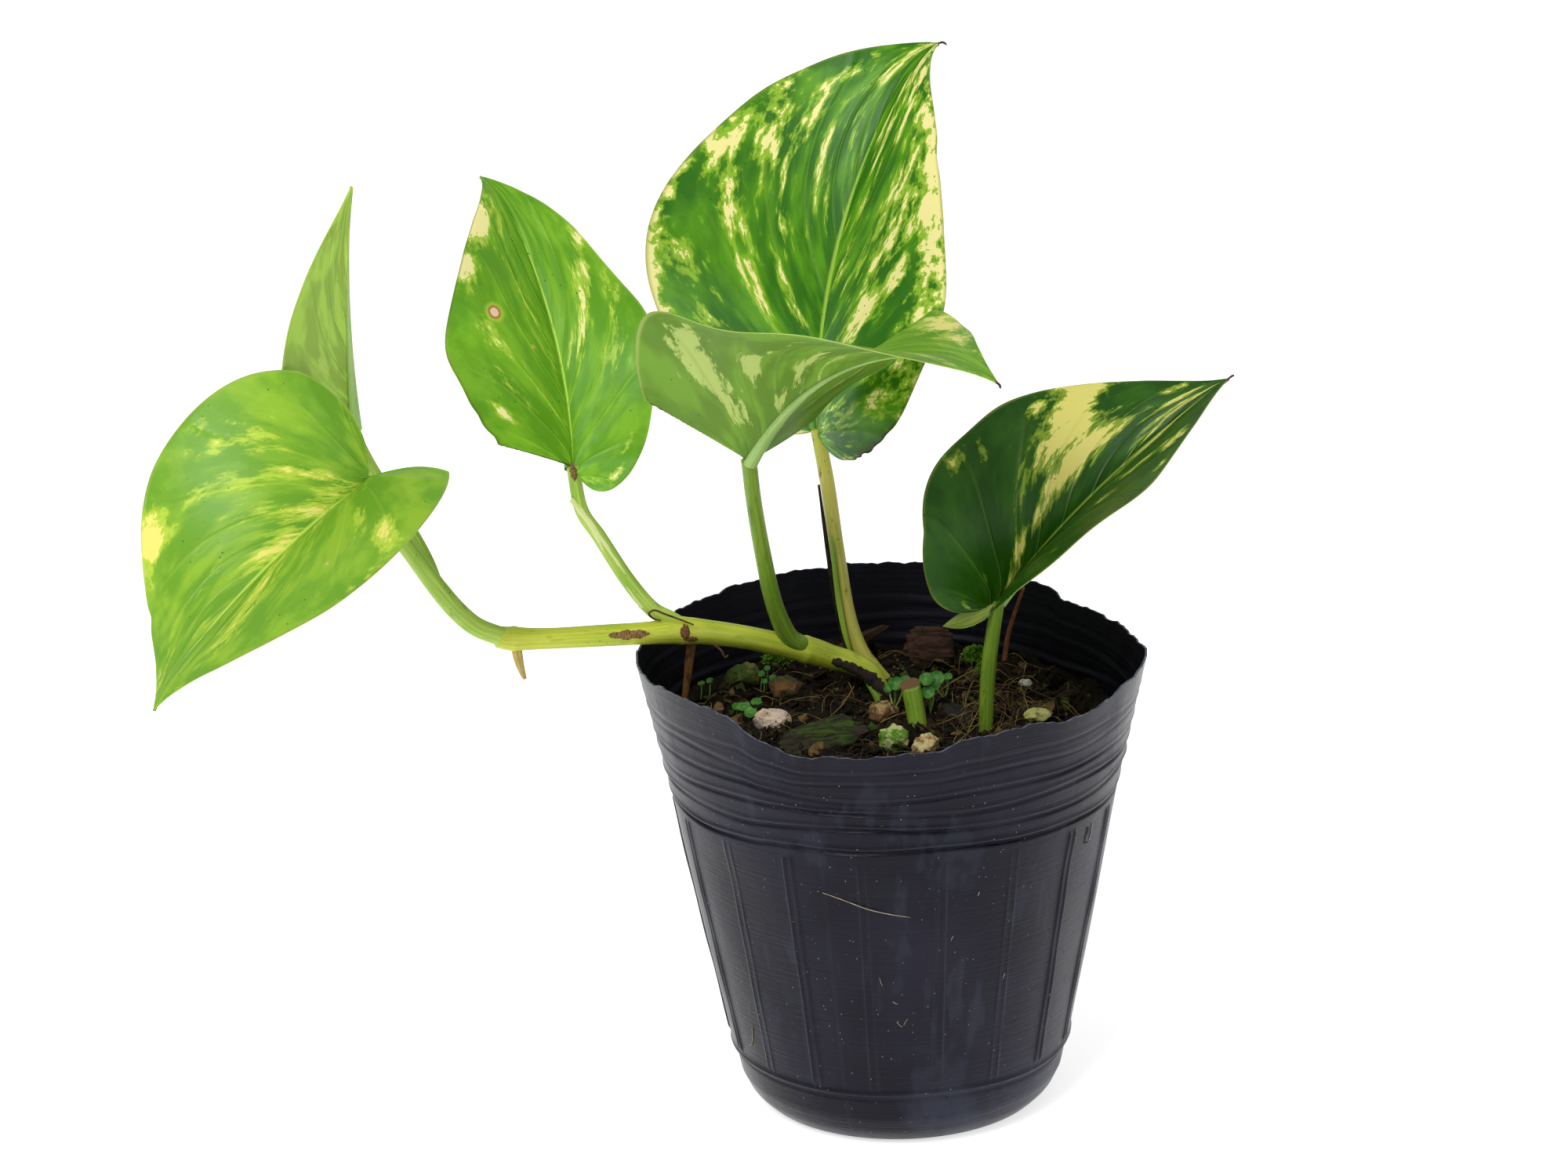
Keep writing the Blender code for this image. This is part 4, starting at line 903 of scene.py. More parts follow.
def skin_patch(shape, name, share, turn, half_share, half_turn, lift=0.12):
    """A lens-shaped flake lying on a stalk's skin."""
    along, across = grid(np.linspace(-1, 1, 25), np.linspace(-1, 1, 9))
    outline = (1 - along**2) ** 0.6 * (1 + 0.18 * np.sin(along * 9) + 0.1 * np.sin(along * 23))
    height = lift * np.clip(1.3 - along**2 - across**2, 0.0, 1.0)
    places = stalk_place(name, share + along * half_share, turn + across * outline * half_turn, height)
    shape.add(places, grid_faces(25, 9), stalk=triples(along * 9, across, 0))


def ribbon(shape, points, width, slot=0, curl=0.4, ragged=0.25, seed=0, taper=0.35):
    """A thin curled strip along a line, with uneven edges; width in millimetres."""
    rows, columns = 48, 7
    share = np.linspace(0, 1, rows)
    line = spline(points, share)
    ahead = unit(np.gradient(line, axis=0))
    beside = unit(np.cross(ahead, np.array([0.0, 1.0, 0.0])))
    facing = np.cross(beside, ahead)
    half = width / 2 * (taper + (1 - taper) * np.sin(pi * (0.1 + 0.8 * share)))
    half = (half * (1 + ragged * rough(triples(share * width * 9, 0, 0), 1.0, seed)))[:, None]
    across = np.linspace(-1, 1, columns)
    for sign in (1, -1):
        sheet = line[:, None] + beside[:, None] * (across * half)[..., None]
        sheet = sheet + facing[:, None] * (curl * across**2 * half + sign * STRIP_THICKNESS / 2)[..., None]
        faces = grid_faces(rows, columns, turned=sign > 0)
        shape.add(sheet, faces, slot=slot, stalk=triples(share[:, None] * 30, across, 0.0))


def thread(shape, points, thickness, slot=0, sides=5, rows=None, **values):
    """A thin round thread along a line, tapering a little at its ends."""
    rows = rows or max(5, 4 * len(points))
    share = np.linspace(0, 1, rows)
    line = spline(points, share)
    ahead = unit(np.gradient(line, axis=0))
    beside = unit(np.cross(ahead, np.array([0.31, 0.21, 0.93])))
    facing = np.cross(beside, ahead)
    half = thickness / 2 * (0.35 + 0.65 * np.sin(pi * (0.08 + 0.84 * share)) ** 0.5)
    turn = circle(sides)
    ring = beside[:, None] * np.cos(turn)[:, None] + facing[:, None] * np.sin(turn)[:, None]
    skin = line[:, None] + ring * half[:, None, None]
    stalk = triples(share[:, None] * 20, turn, 0)
    shape.add(skin, grid_faces(rows, sides, closed=True), slot=slot, stalk=stalk, **values)


# Pot

def rim_lift(angle):
    degrees, lift = np.array(RIM_CUT, float).T
    angle = (np.degrees(angle) + 180) % 360 - 180
    k = np.clip(np.searchsorted(degrees, angle) - 1, 0, len(degrees) - 2)
    t = np.clip((angle - degrees[k]) / (degrees[k + 1] - degrees[k]), 0, 1)
    return lift[k] + (lift[k + 1] - lift[k]) * t * t * (3 - 2 * t)


def ripple(angle, *waves):
    """A sum of waves round the pot, each given as number, size and start."""
    return sum(size * np.sin(number * angle + start) for number, size, start in waves)


def grooves(angle, height):
    """The collar's wavering grooves, each with a low ridge above it."""
    total = 0.0
    for i, (level, depth) in enumerate(GROOVES):
        waver = ripple(angle, (3, 0.35, i), (5, 0.3, 2.1 * i + 1), (8, 0.22, 4.0 * i))
        off = height - level - waver + 0.12 * rim_lift(angle)
        depth = depth * (1 + 0.5 * ripple(angle, (4, 0.5, i * 1.7), (9, 0.5, i * 2.9)))
        total = total + depth * (0.5 * swell(off - 1.25, 0.55) - swell(off, 0.42))
    return total


def ribs(angle, height, radius):
    """Pairs of thin upright ridges between the foot band and the collar."""
    turn = (angle + pi / 2) / (2 * pi) * RIBS + 0.5
    number = np.round(turn)
    off = (turn - number) * 2 * pi / RIBS * radius
    strength = 0.55 + 0.35 * np.sin(number * 2.3) + 0.1 * np.sin(height * 0.3 + number)
    ridge = 0.55 * swell(np.abs(off) - RIB_HALF_GAP, 0.32) + 0.18 * swell(off, 1.2)
    ends = ramp(height, FOOT_BAND_HEIGHT + 1.5, 1.5) * ramp(COLLAR_HEIGHT - height, 2.2, 1.5)
    return ridge * strength * ends


def foot_band(angle, height):
    """A low ridge over a fine groove, round the foot."""
    off = height - FOOT_BAND_HEIGHT - ripple(angle, (3, 0.3, 0.4), (5, 0.25, 1.9))
    return 0.45 * swell(off - 0.9, 0.7) - 0.35 * swell(off + 0.6, 0.5)


def wall_place(angle, height, lift=0.0):
    """Places on the pot's wall. Height is measured before the rim is cut uneven; lift is outwards."""
    foot = FOOT_BAND_RADIUS - 0.2
    band = FOOT_BAND_HEIGHT
    heights = (0.0, 1.2, 4.0, 8.0, band - 0.9, band + 0.6, COLLAR_HEIGHT, POT_HEIGHT)
    low = (FOOT_RADIUS, FOOT_RADIUS + 3.4, foot - 3.0, foot - 1.1, foot, foot + 0.75)
    radius = np.interp(height, heights, (*low, COLLAR_RADIUS - 0.1, RIM_RADIUS))
    share = height / POT_HEIGHT
    oval = 0.7 * np.cos(2 * angle + 0.4) + 0.35 * np.cos(3 * angle - 1.1)
    radius = radius + share * oval * (1 - 0.3 * share)
    collar = POT_HEIGHT - COLLAR_HEIGHT
    folds = ripple(angle, (5, 0.22, 0.3), (9, 0.16, 2.0), (14, 0.12, 1.0))
    folds = folds * ramp(height, COLLAR_HEIGHT + 4, collar)
    slack = 0.28 * ripple(angle, (4, 0.5, 1.0), (7, 0.4, height * 0.05), (11, 0.3, height * 0.09))
    folds = folds + slack * ramp(height, 20, 20) * ramp(78 - height, 0, 10)
    fine = grooves(angle, height) + ribs(angle, height, radius) + foot_band(angle, height)
    above = np.clip(height - COLLAR_HEIGHT, 0, None) / collar
    uneven = ripple(angle, (37, 0.18, 0.5), (61, 0.14, 2.0), (113, 0.12, 1.2), (23, 0.2, 0.1))
    rise = rim_lift(angle) * above**2 + uneven * above**8
    radius = radius + folds + fine + lift + (RIM_RADIUS - COLLAR_RADIUS) / collar * rise
    return triples(radius * np.cos(angle), radius * np.sin(angle), height + rise)


def make_pot(look, rim_highlight_look):
    """The thin wall, its outer and inner sides and its lip, whose pale colour is a painted highlight."""
    in_rib = joined((-0.5, -0.115, 7), (-0.115, 0.115, 17), (0.115, 0.5, 7))[:-1]
    angles = ((np.arange(RIBS)[:, None] + in_rib).ravel() - 0.5) * 2 * pi / RIBS - pi / 2
    columns = len(angles)
    shape = Shape()
    heights = joined((0, 12.5, 12), (12.5, 17.5, 16), (17.5, 77, 34), (77, 106, 96), (106, POT_HEIGHT, 8))
    height, angle = grid(heights, angles)
    outer = wall_place(angle, height)
    shape.add(outer, grid_faces(len(heights), columns, closed=True), wall=triples(angle, height, 0))
    heights = joined((1, 80, 14), (80, POT_HEIGHT, 50))
    height, angle = grid(heights, angles)
    inner = wall_place(angle, height, -FILM)
    inner[..., 2] = np.maximum(inner[..., 2], FILM)
    faces = grid_faces(len(heights), columns, closed=True, turned=True)
    shape.add(inner, faces, wall=triples(angle, height, 1))
    # The lip's look is a pale painted highlight.
    lip = np.stack([outer[-1], outer[-1] * 0.5 + inner[-1] * 0.5 + [0, 0, 0.1], inner[-1]])
    shape.add(lip, grid_faces(3, columns, closed=True), slot=1, wall=np.array([0.0, POT_HEIGHT, 0.5]))
    return shape.object("pot_fine", look, rim_highlight_look)


def make_pot_floor(look):
    """A disc with drain holes that closes the wall's foot."""
    floor = bpy.data.curves.new("pot_floor", "CURVE")
    floor.dimensions = "2D"
    floor.fill_mode = "BOTH"
    floor.extrude = FILM / 2 * MM
    rings = [(0.0, 0.0, FOOT_RADIUS + 0.4, 72)]
    for i in range(DRAIN_HOLES):
        turn = 2 * pi * (i + 0.5) / DRAIN_HOLES
        rings.append((DRAIN_RING_RADIUS * cos(turn), DRAIN_RING_RADIUS * sin(turn), DRAIN_HOLE_RADIUS, 20))
    for x, y, radius, count in rings:
        line = floor.splines.new("POLY")
        line.points.add(count - 1)
        line.use_cyclic_u = True
        for turn, point in zip(circle(count), line.points):
            point.co = ((x + radius * cos(turn)) * MM, (y + radius * sin(turn)) * MM, 0, 1)
    disc = bpy.data.objects.new("pot_floor", floor)
    disc.location.z = (FILM / 2 + 0.02) * MM
    floor.materials.append(look.material)
    bpy.context.scene.collection.objects.link(disc)
    return disc


def add_wall_marks(shape):
    """A dried hair, small scratches and an L-shaped nick with a painted glint beside it, on the outside of the
    pot.
    """
    def on_wall(points, thickness, lift=0.12, slot=0):
        line = [wall_place(radians(angle), np.float64(height), lift) for angle, height in points]
        thread(shape, line, thickness, slot, rows=24)

    on_wall(DRY_HAIR, 0.22)
    on_wall(LOW_HAIR, 0.25)
    for angle, height, reach, rise in SCRATCHES:
        half_way = (angle + reach / 2, height + rise * 0.6)
        on_wall(((angle, height), half_way, (angle + reach, height + rise)), 0.16)
    for (a0, h0), (a1, h1) in NICK:
        on_wall(((a0, h0), ((a0 + a1) / 2, (h0 + h1) / 2), (a1, h1)), 0.5, lift=-0.05, slot=1)
    # The pale line beside the nick is a painted glint.
    on_wall(NICK_GLINT, 0.22, slot=2)


# Soil and what lies in it

def soil_reach(angle):
    """How far out the soil's top reaches before it meets the wall."""
    reach = np.full_like(angle, COLLAR_RADIUS)
    for _ in range(4):
        height = mound(reach * np.cos(angle), reach * np.sin(angle))
        reach = np.linalg.norm(wall_place(angle, height, -FILM)[..., :2], axis=-1) - 0.3
    return reach


def make_soil(look):
    """The lumpy top of the soil, and its side and underside kept clear of the wall."""
    rings, spokes = ((80, 320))
    share, angle = grid(np.linspace(0.002, 1, rings), circle(spokes))
    radius = soil_reach(angle) * share
    x, y = radius * np.cos(angle), radius * np.sin(angle)
    z = mound(x, y)
    for scale, size in ((0.12, 0.9), (0.35, 0.7), (0.9, 0.45), (2.1, 0.22)):
        z = z + size * rough(triples(x, y, 0), scale, scale).reshape(x.shape)
    top = triples(x, y, z - 0.3)
    shape = Shape()
    shape.add(top, grid_faces(rings, spokes, closed=True, turned=True))
    side = [top[-1], top[-1] * [0.965, 0.965, 1] - [0, 0, 0.5]]
    for height in (82.0, 60.0, 30.0, 3.0):
        side.append(wall_place(angle[0], np.full(spokes, height), -3.5) * [1, 1, 0] + [0, 0, height])
    side.append(side[-1] * [0.01, 0.01, 1])
    shape.add(np.array(side), grid_faces(7, spokes, closed=True, turned=True))
    return shape.object("soil_top", look)


def turned(*turns):
    """The matrix of several turns, each an angle in radians and an axis."""
    matrix = Matrix.Identity(3)
    for angle, axis in turns:
        matrix = matrix @ Matrix.Rotation(angle, 3, axis)
    return np.array(matrix)


def scatter(rng, count, most=51.0):
    """Random places on the soil."""
    angle = rng.uniform(0, 2 * pi, count)
    radius = most * np.sqrt(rng.uniform(0, 1, count))
    x, y = radius * np.cos(angle), radius * np.sin(angle)
    return x, y, mound(x, y)


LUMP_POINTS = np.array([(1, 0, 0), (-1, 0, 0), (0, 1, 0), (0, -1, 0), (0, 0, 1), (0, 0, -1)], float)
LUMP_FACES = np.array([
    (0, 2, 4), (2, 1, 4), (1, 3, 4), (3, 0, 4), (2, 0, 5), (1, 2, 5), (3, 1, 5), (0, 3, 5),
])


def make_crumbs(looks):
    """Crumbs of soil, grit and tan and mossy bits, all loose on the top."""
    rng = np.random.default_rng(5)
    shape = Shape()
    count = CRUMBS
    x, y, z = scatter(rng, count)
    for i in range(count):
        size = rng.uniform(0.25, 0.6) if rng.random() < 0.8 else rng.uniform(0.6, 1.7)
        stretched = size * rng.uniform(0.6, 1.4, 3)
        spin = turned((rng.uniform(0, 6.28), Vector(rng.normal(size=3))))
        points = (LUMP_POINTS * stretched * rng.uniform(0.75, 1.2, (6, 1))) @ spin.T
        slot = rng.choice(len(looks), p=(0.58, 0.25, 0.07, 0.10))
        shape.add(points + [x[i], y[i], z[i] + rng.uniform(-0.1, 0.5)], LUMP_FACES, slot=int(slot))
    crumbs = shape.object("soil_crumbs", *looks)
    crumbs.data.shade_flat()
    return crumbs


def make_litter(looks):
    """Flat chips of bark and dead leaf."""
    rng = np.random.default_rng(8)
    shape = Shape()
    x, y, z = scatter(rng, CHIPS)
    along, across = grid(np.linspace(-1, 1, 7), np.linspace(-1, 1, 4))
    for i in range(CHIPS):
        long, wide = rng.uniform(1.2, 4.2), rng.uniform(0.7, 1.8)
        outline = (1 - 0.75 * np.abs(along) ** 3) * rng.uniform(0.8, 1.1)
        rise = rng.uniform(-0.5, 0.5) * along**2 + rng.uniform(-0.3, 0.3) * across**2
        rise = rise + 0.15 * rough(triples(along * 3, across * 3, i), 1).reshape(7, 4)
        points = triples(along * long, across * outline * wide, rise).reshape(-1, 3)
        spin = turned((rng.uniform(0, 6.28), "Z"), (rng.normal() * 0.35, "X"), (rng.normal() * 0.3, "Y"))
        points = points @ spin.T + [x[i], y[i], z[i] + rng.uniform(0.3, 0.9)]
        slot = int(rng.choice(len(looks), p=(0.5, 0.35, 0.15)))
        shape.add(points, grid_faces(7, 4), slot=slot)
        shape.add(points - [0, 0, 0.25], grid_faces(7, 4, turned=True), slot=slot)
    return shape.object("soil_litter", *looks)


def make_fibres(looks):
    """Fine dead roots and grass: a mat all over, thicker round the right-hand stalk."""
    rng = np.random.default_rng(11)
    shape = Shape()
    count = FIBRES
    x, y, _ = scatter(rng, count, 49)
    for i in range(count):
        near = i < count // 3
        start = (25 + rng.normal() * 4.5, 10 + rng.normal() * 9.0) if near else (x[i], y[i])
        heading, reach = rng.uniform(0, 2 * pi), rng.uniform(4, 13)
        bend = rng.normal() * 0.7
        line = []
        lift = rng.uniform(0.8, 4.5 if near else 2.0)
        for t in np.linspace(0, 1, 5):
            way = heading + bend * t
            px, py = start[0] + cos(way) * reach * t, start[1] + sin(way) * reach * t
            if px * px + py * py > 50**2:
                break
            line.append((px, py, mound(px, py) + 0.3 + lift * sin(pi * t) + rng.uniform(-0.3, 0.3)))
        if len(line) > 2:
            thickness = rng.uniform(0.08, 0.22)
            slot = int(rng.choice(len(looks), p=(0.5, 0.35, 0.15)))
            thread(shape, line, thickness, slot=slot, sides=4, rows=9)
    thread(shape, LONG_ROOT, 0.34, rows=40)
    for blade in GRASS:
        thread(shape, blade, 0.24, rows=20)
    return shape.object("root_fibres", *looks)


def ball(level):
    """Points and faces of a round ball."""
    bm = bmesh.new()
    bmesh.ops.create_icosphere(bm, subdivisions=level, radius=1)
    points = np.array([v.co[:] for v in bm.verts])
    faces = np.array([[v.index for v in f.verts] for f in bm.faces])
    bm.free()
    return points, faces


def turn_matrix(x, y, z):
    """The matrix of turns about X, then Y, then Z, in degrees."""
    return turned((radians(z), "Z"), (radians(y), "Y"), (radians(x), "X"))


def make_stone(name, look):
    """A broken stone: the lump of its node, struck flat in places, pitted and grained."""
    (x, y, lift), half, turn, uneven, seed, kind = STONES[name]
    way, faces = ball(5)
    size = 1 + uneven * rough(way, 1.6, seed)
    points = way * np.array(half) * size[:, None]
    rng = np.random.default_rng(seed)
    for _ in range(13):
        normal = unit(rng.normal(size=3))
        limit = rng.uniform(0.62, 0.92) * np.linalg.norm(normal * half)
        over = np.clip(points @ normal - limit, 0, None)
        points = points - over[:, None] * normal * 0.96
    knobs = 0.45 if kind in ("knobbly", "lime_green", "lime_tan") else 0.25
    outward = unit(points)
    points = points + outward * (knobs * np.abs(rough(points, 0.55, seed + 2)) * 2 - knobs * 0.6)[:, None]
    pits = 0.16 * rough(points, 1.7, seed + 4) + 0.07 * rough(points, 4.2, seed + 6)
    points = points + outward * pits[:, None]
    hollow = rough(points, 0.55, seed + 2)
    points = points @ turn_matrix(0, 0, turn).T + [x, y, mound(x, y) + lift - 0.3]
    shape = Shape()
    shape.add(points, faces, grain=triples(np.abs(hollow), way[:, 2], 0))
    return shape.object(name + "_fine", look)


def make_bark(name, look):
    """A splintered piece of bark, its layers running along its length."""
    (x, y, lift), half, turn, uneven, seed = BARK[name]
    way, faces = ball(5)
    size = 1 + uneven * rough(way, 1.6, seed)
    corner = np.sign(way) * np.abs(way) ** 0.72
    points = corner * np.array(half) * size[:, None] * 0.92
    layers = rough(points * [0.12, 1.1, 1.3], 1.0, seed)
    layers = layers + 0.5 * rough(points * [0.3, 2.4, 2.6], 1.0, seed + 1)
    ends = np.clip(np.abs(way[:, 0]) - 0.6, 0, 1) * rough(points * [0.1, 1.3, 1.3], 1.0, seed + 3)
    points = points + unit(points) * (0.55 * layers)[:, None]
    points[:, 0] += np.sign(way[:, 0]) * ends * 3.5
    points = points @ turn_matrix(*turn).T + [x, y, mound(x, y) + lift]
    shape = Shape()
    shape.add(points, faces, grain=triples(layers, way[:, 2], way[:, 0]))
    return shape.object(name + "_fine", look)


def moss_tufts(shape, rng, places, normals, size):
    """Small pointed leaves standing up from the places."""
    for place, normal in zip(places, normals):
        for _ in range(3):
            way = unit(normal + rng.normal(size=3) * 0.55)
            beside = unit(np.cross(way, rng.normal(size=3)))
            long = size * rng.uniform(0.6, 1.3)
            beside = beside * long * 0.17
            knee = place + way * long * 0.6
            tip = place + way * long + [0, 0, -0.15 * long]
            points = [place - beside, place + beside, knee + beside * 0.7, knee - beside * 0.7, tip]
            shape.add(points, [(0, 1, 2), (0, 2, 3), (3, 2, 4)])


def make_moss(name, look):
    """A cushion of moss, bristling with small leaves."""
    (x, y, lift), half, seed = MOSS[name]
    rng = np.random.default_rng(seed)
    way, faces = ball(3)
    points = way * np.array(half) * 0.72 * (1 + 0.3 * rough(way, 2.0, seed))[:, None]
    points = points + [x, y, mound(x, y) + lift - 0.3]
    shape = Shape()
    shape.add(points, faces)
    chosen = rng.choice(len(points), 420)
    above = [i for i in chosen if way[i, 2] > -0.2]
    moss_tufts(shape, rng, points[above], way[above] + [0, 0, 0.4], 1.5)
    return shape.object(name + "_fine", look)


def round_leaf(shape, middle, radius, tilt):
    """A small round seed leaf with a notch and a slightly raised rim."""
    rings, spokes = 6, 22
    share, turn = grid(np.linspace(0.0, 1, rings), circle(spokes))
    out = radius * share * (1 - 0.22 * swell(turn - pi, 0.3))
    rise = 0.22 * radius * share**2 + 0.05 * np.cos(5 * turn) * share
    tilted = turn_matrix(tilt[0], tilt[1], 0) @ turn_matrix(0, 0, tilt[2])
    points = triples(out * np.cos(turn), out * np.sin(turn), rise).reshape(-1, 3) @ tilted.T + middle
    shape.add(points, grid_faces(rings, spokes, closed=True), grain=triples(share, 0, 0))
    under = grid_faces(rings, spokes, closed=True, turned=True)
    shape.add(points - [0, 0, 0.16], under, grain=np.array([1.0, 0.0, 0.0]))


def make_seedling(name, leaf_look, stalk_look):
    (fx, fy), leaves = SEEDLINGS[name]
    rng = np.random.default_rng(len(name) + int(fx))
    shape = Shape()
    for x, y, height, radius in leaves:
        top = np.array([x, y, mound(x, y) + height])
        foot = np.array([fx, fy, mound(fx, fy) - 0.5])
        half_way = foot * 0.5 + top * 0.5 + [0.3, 0.2, -0.4]
        thread(shape, [foot, half_way, top - [0, 0, 0.1]], 0.5, slot=1, rows=12)
        round_leaf(shape, top, radius, (rng.uniform(36, 62), rng.uniform(-16, 16), rng.uniform(0, 360)))
    return shape.object(name + "_fine", leaf_look, stalk_look)


def make_weeds(leaf_look, stalk_look):
    """Tiny seedlings near the left-hand stones."""
    rng = np.random.default_rng(3)
    shape = Shape()
    for x, y, height, radius in WEEDS:
        top = np.array([x, y, mound(x, y) + height])
        line = [top - [0.4, -0.3, height + 0.4], top - [0.1, 0, height / 2], top]
        thread(shape, line, 0.3, slot=1, rows=8, sides=4)
        round_leaf(shape, top, radius, (rng.uniform(15, 40), rng.uniform(-15, 15), rng.uniform(0, 360)))
    return shape.object("tiny_weeds", leaf_look, stalk_look)


# Looks

def leaf_look(name, dark, middle, lime, cream, under, under_pale, amount, contrast):
    """A blade splashed along its veins: dark, middle and lime green, then cream where the paint is strong."""
    look = Look(name, Specular_IOR_Level=0.22)
    vein, out, where = look.parts(look.attribute("veins", "Vector"))
    paint, below, scorched = look.parts(look.attribute("marks", "Vector"))
    spot = look.attribute("spot")
    place = look.place()
    warp = look.noise(place, 90, 2.0)
    streaks = look.noise(look.vector(vein * 44 + warp * 1.4, out * 8.5, where * 5), 1.0, 4.0, 0.62)
    fine = look.noise(look.vector(vein * 130, out * 34, where * 5), 1.0, 2.0, 0.6)
    broad = look.noise(look.vector(vein * 11, out * 2.6, where * 5), 1.0, 2.0)
    value = paint + (streaks - 0.5) * contrast + (fine - 0.5) * 0.55 + (broad - 0.5) * 0.8 + (amount - 0.5)
    body = look.mix(look.step(streaks * 0.35 + broad * 0.85, 0.48, 0.74), dark, middle)
    body = look.mix(look.step(value, 0.16, 0.46) * 0.9, body, lime)
    upper = look.mix(look.step(value, 0.50, 0.60), body, cream)
    line = look.step(out, 0.022, 0.006) * look.step(vein, 1.6, 1.2)
    lateral = look.node("ShaderNodeMath", {"operation": "PINGPONG"}, {0: vein * VEINS, 1: 0.5})
    strokes = look.step(lateral, 0.06, 0.0) * look.step(out, 0.98, 0.55) * look.step(out, 0.0, 0.06)
    upper = look.mix(line * 0.75 + strokes * 0.10, upper, [min(255, c + 26) for c in lime])
    lower = look.mix(look.step(broad, 0.4, 0.6), [c * 0.86 for c in under], under)
    lower = look.mix(look.step(value, 0.30, 0.52) * 0.85, lower, under_pale)
    lower = look.mix(strokes * 0.22, lower, [c * 0.82 for c in under])
    blade = look.mix(below, upper, lower)
    blade = look.mix(look.step(out, 0.972, 1.0) * (0.4 + 0.3 * below), blade, under_pale)
    dots = look.cells(look.stretch(place, 420, 420, 420), 1.0)
    speck = look.step(dots, 0.11, 0.06) * look.step(look.noise(place, 60, 1.0), 0.56, 0.60)
    blade = look.mix(speck * 0.8, blade, (30, 34, 12))
    halo = look.step(spot, 1.9, 1.2)
    blade = look.mix(halo * 0.6, blade, lime)
    blade = look.mix(look.step(spot, 1.15, 0.95), blade, (172, 112, 62))
    blade = look.mix(look.step(spot, 0.8, 0.62), blade, (226, 192, 160))
    blade = look.mix(scorched, blade, (62, 40, 20))
    mottle = look.noise(place, 700, 2.0)
    look.set(Base_Color=blade, Roughness=0.36 + 0.10 * (mottle - 0.5) + below * 0.16)
    relief = look.step(lateral, 0.10, 0.0) * -0.5 + mottle * 0.12 + look.noise(place, 160, 2.0) * 0.35
    look.set(Normal=look.bump(relief, 0.5, 0.55))
    return look


def stem_look(name, pale, green, shade, dirt, stain=0.0):
    """Smooth juicy stalk with long faint stripes, darker patches of painted shade and small brown marks."""
    look = Look(name, Specular_IOR_Level=0.35)
    along, around, _ = look.parts(look.attribute("stalk", "Vector"))
    place = look.place()
    lines = look.noise(look.vector(along * 0.05, around * 3.2, 0.0), 1.0, 3.0, 0.6)
    broad = look.noise(look.stretch(place, 55, 55, 55), 1.0, 2.0)
    body = look.mix(look.step(lines * 0.7 + broad * 0.5, 0.45, 0.75), pale, green)
    # Painted shade: patches blended towards the shaded colour.
    shaded = look.noise(look.vector(along * 0.22, around * 1.1, 4.0), 1.0, 2.0)
    body = look.mix(look.step(shaded, 0.55, 0.75) * 0.6, body, shade)
    blotch = look.noise(look.stretch(place, 420, 420, 150), 1.0, 4.0, 0.65)
    body = look.mix(look.step(blotch, 0.66 - stain, 0.78 - stain) * 0.75, body, dirt)
    dots = look.cells(look.stretch(place, 700, 700, 500), 1.0)
    body = look.mix(look.step(dots, 0.13, 0.07) * look.step(broad, 0.5, 0.6) * 0.8, body, (60, 44, 18))
    look.set(Base_Color=body, Roughness=0.36 + 0.25 * (blotch - 0.4))
    relief = lines * 0.6 + look.noise(place, 900, 2.0) * 0.15
    look.set(Normal=look.bump(relief, 0.4, 0.5))
    return look


def dry_look(name, first, second, third):
    """Dead papery or woody tissue with lengthwise cracks."""
    look = Look(name, Specular_IOR_Level=0.25)
    along, around, _ = look.parts(look.attribute("stalk", "Vector"))
    threads = look.noise(look.vector(along * 0.35, around * 4.0, 1.0), 1.0, 4.0, 0.65)
    cloud = look.noise(look.place(), 260, 3.0)
    body = look.mix(look.step(threads, 0.36, 0.62), first, second)
    body = look.mix(look.step(cloud, 0.52, 0.68), body, third)
    look.set(Base_Color=body, Roughness=0.85 + 0.2 * (cloud - 0.5))
    look.set(Normal=look.bump(threads + cloud * 0.5, 0.5, 0.8))
    return look


def scar_look(name):
    """Corky brown scab crossed by pale cracks."""
    look = Look(name, Specular_IOR_Level=0.2, Roughness=0.9)
    along, across, _ = look.parts(look.attribute("stalk", "Vector"))
    cracks = look.noise(look.vector(along * 1.9, across * 0.7, 0.0), 1.0, 3.0, 0.7)
    cross = look.noise(look.vector(along * 0.6, across * 4.0, 3.0), 1.0, 2.0)
    body = look.mix(look.step(cracks, 0.42, 0.56), (92, 66, 38), (150, 118, 74))
    body = look.mix(look.step(cross, 0.58, 0.66) * 0.7, body, (56, 38, 22))
    look.set(Base_Color=body, Normal=look.bump(cracks, 0.4, 0.8))
    return look


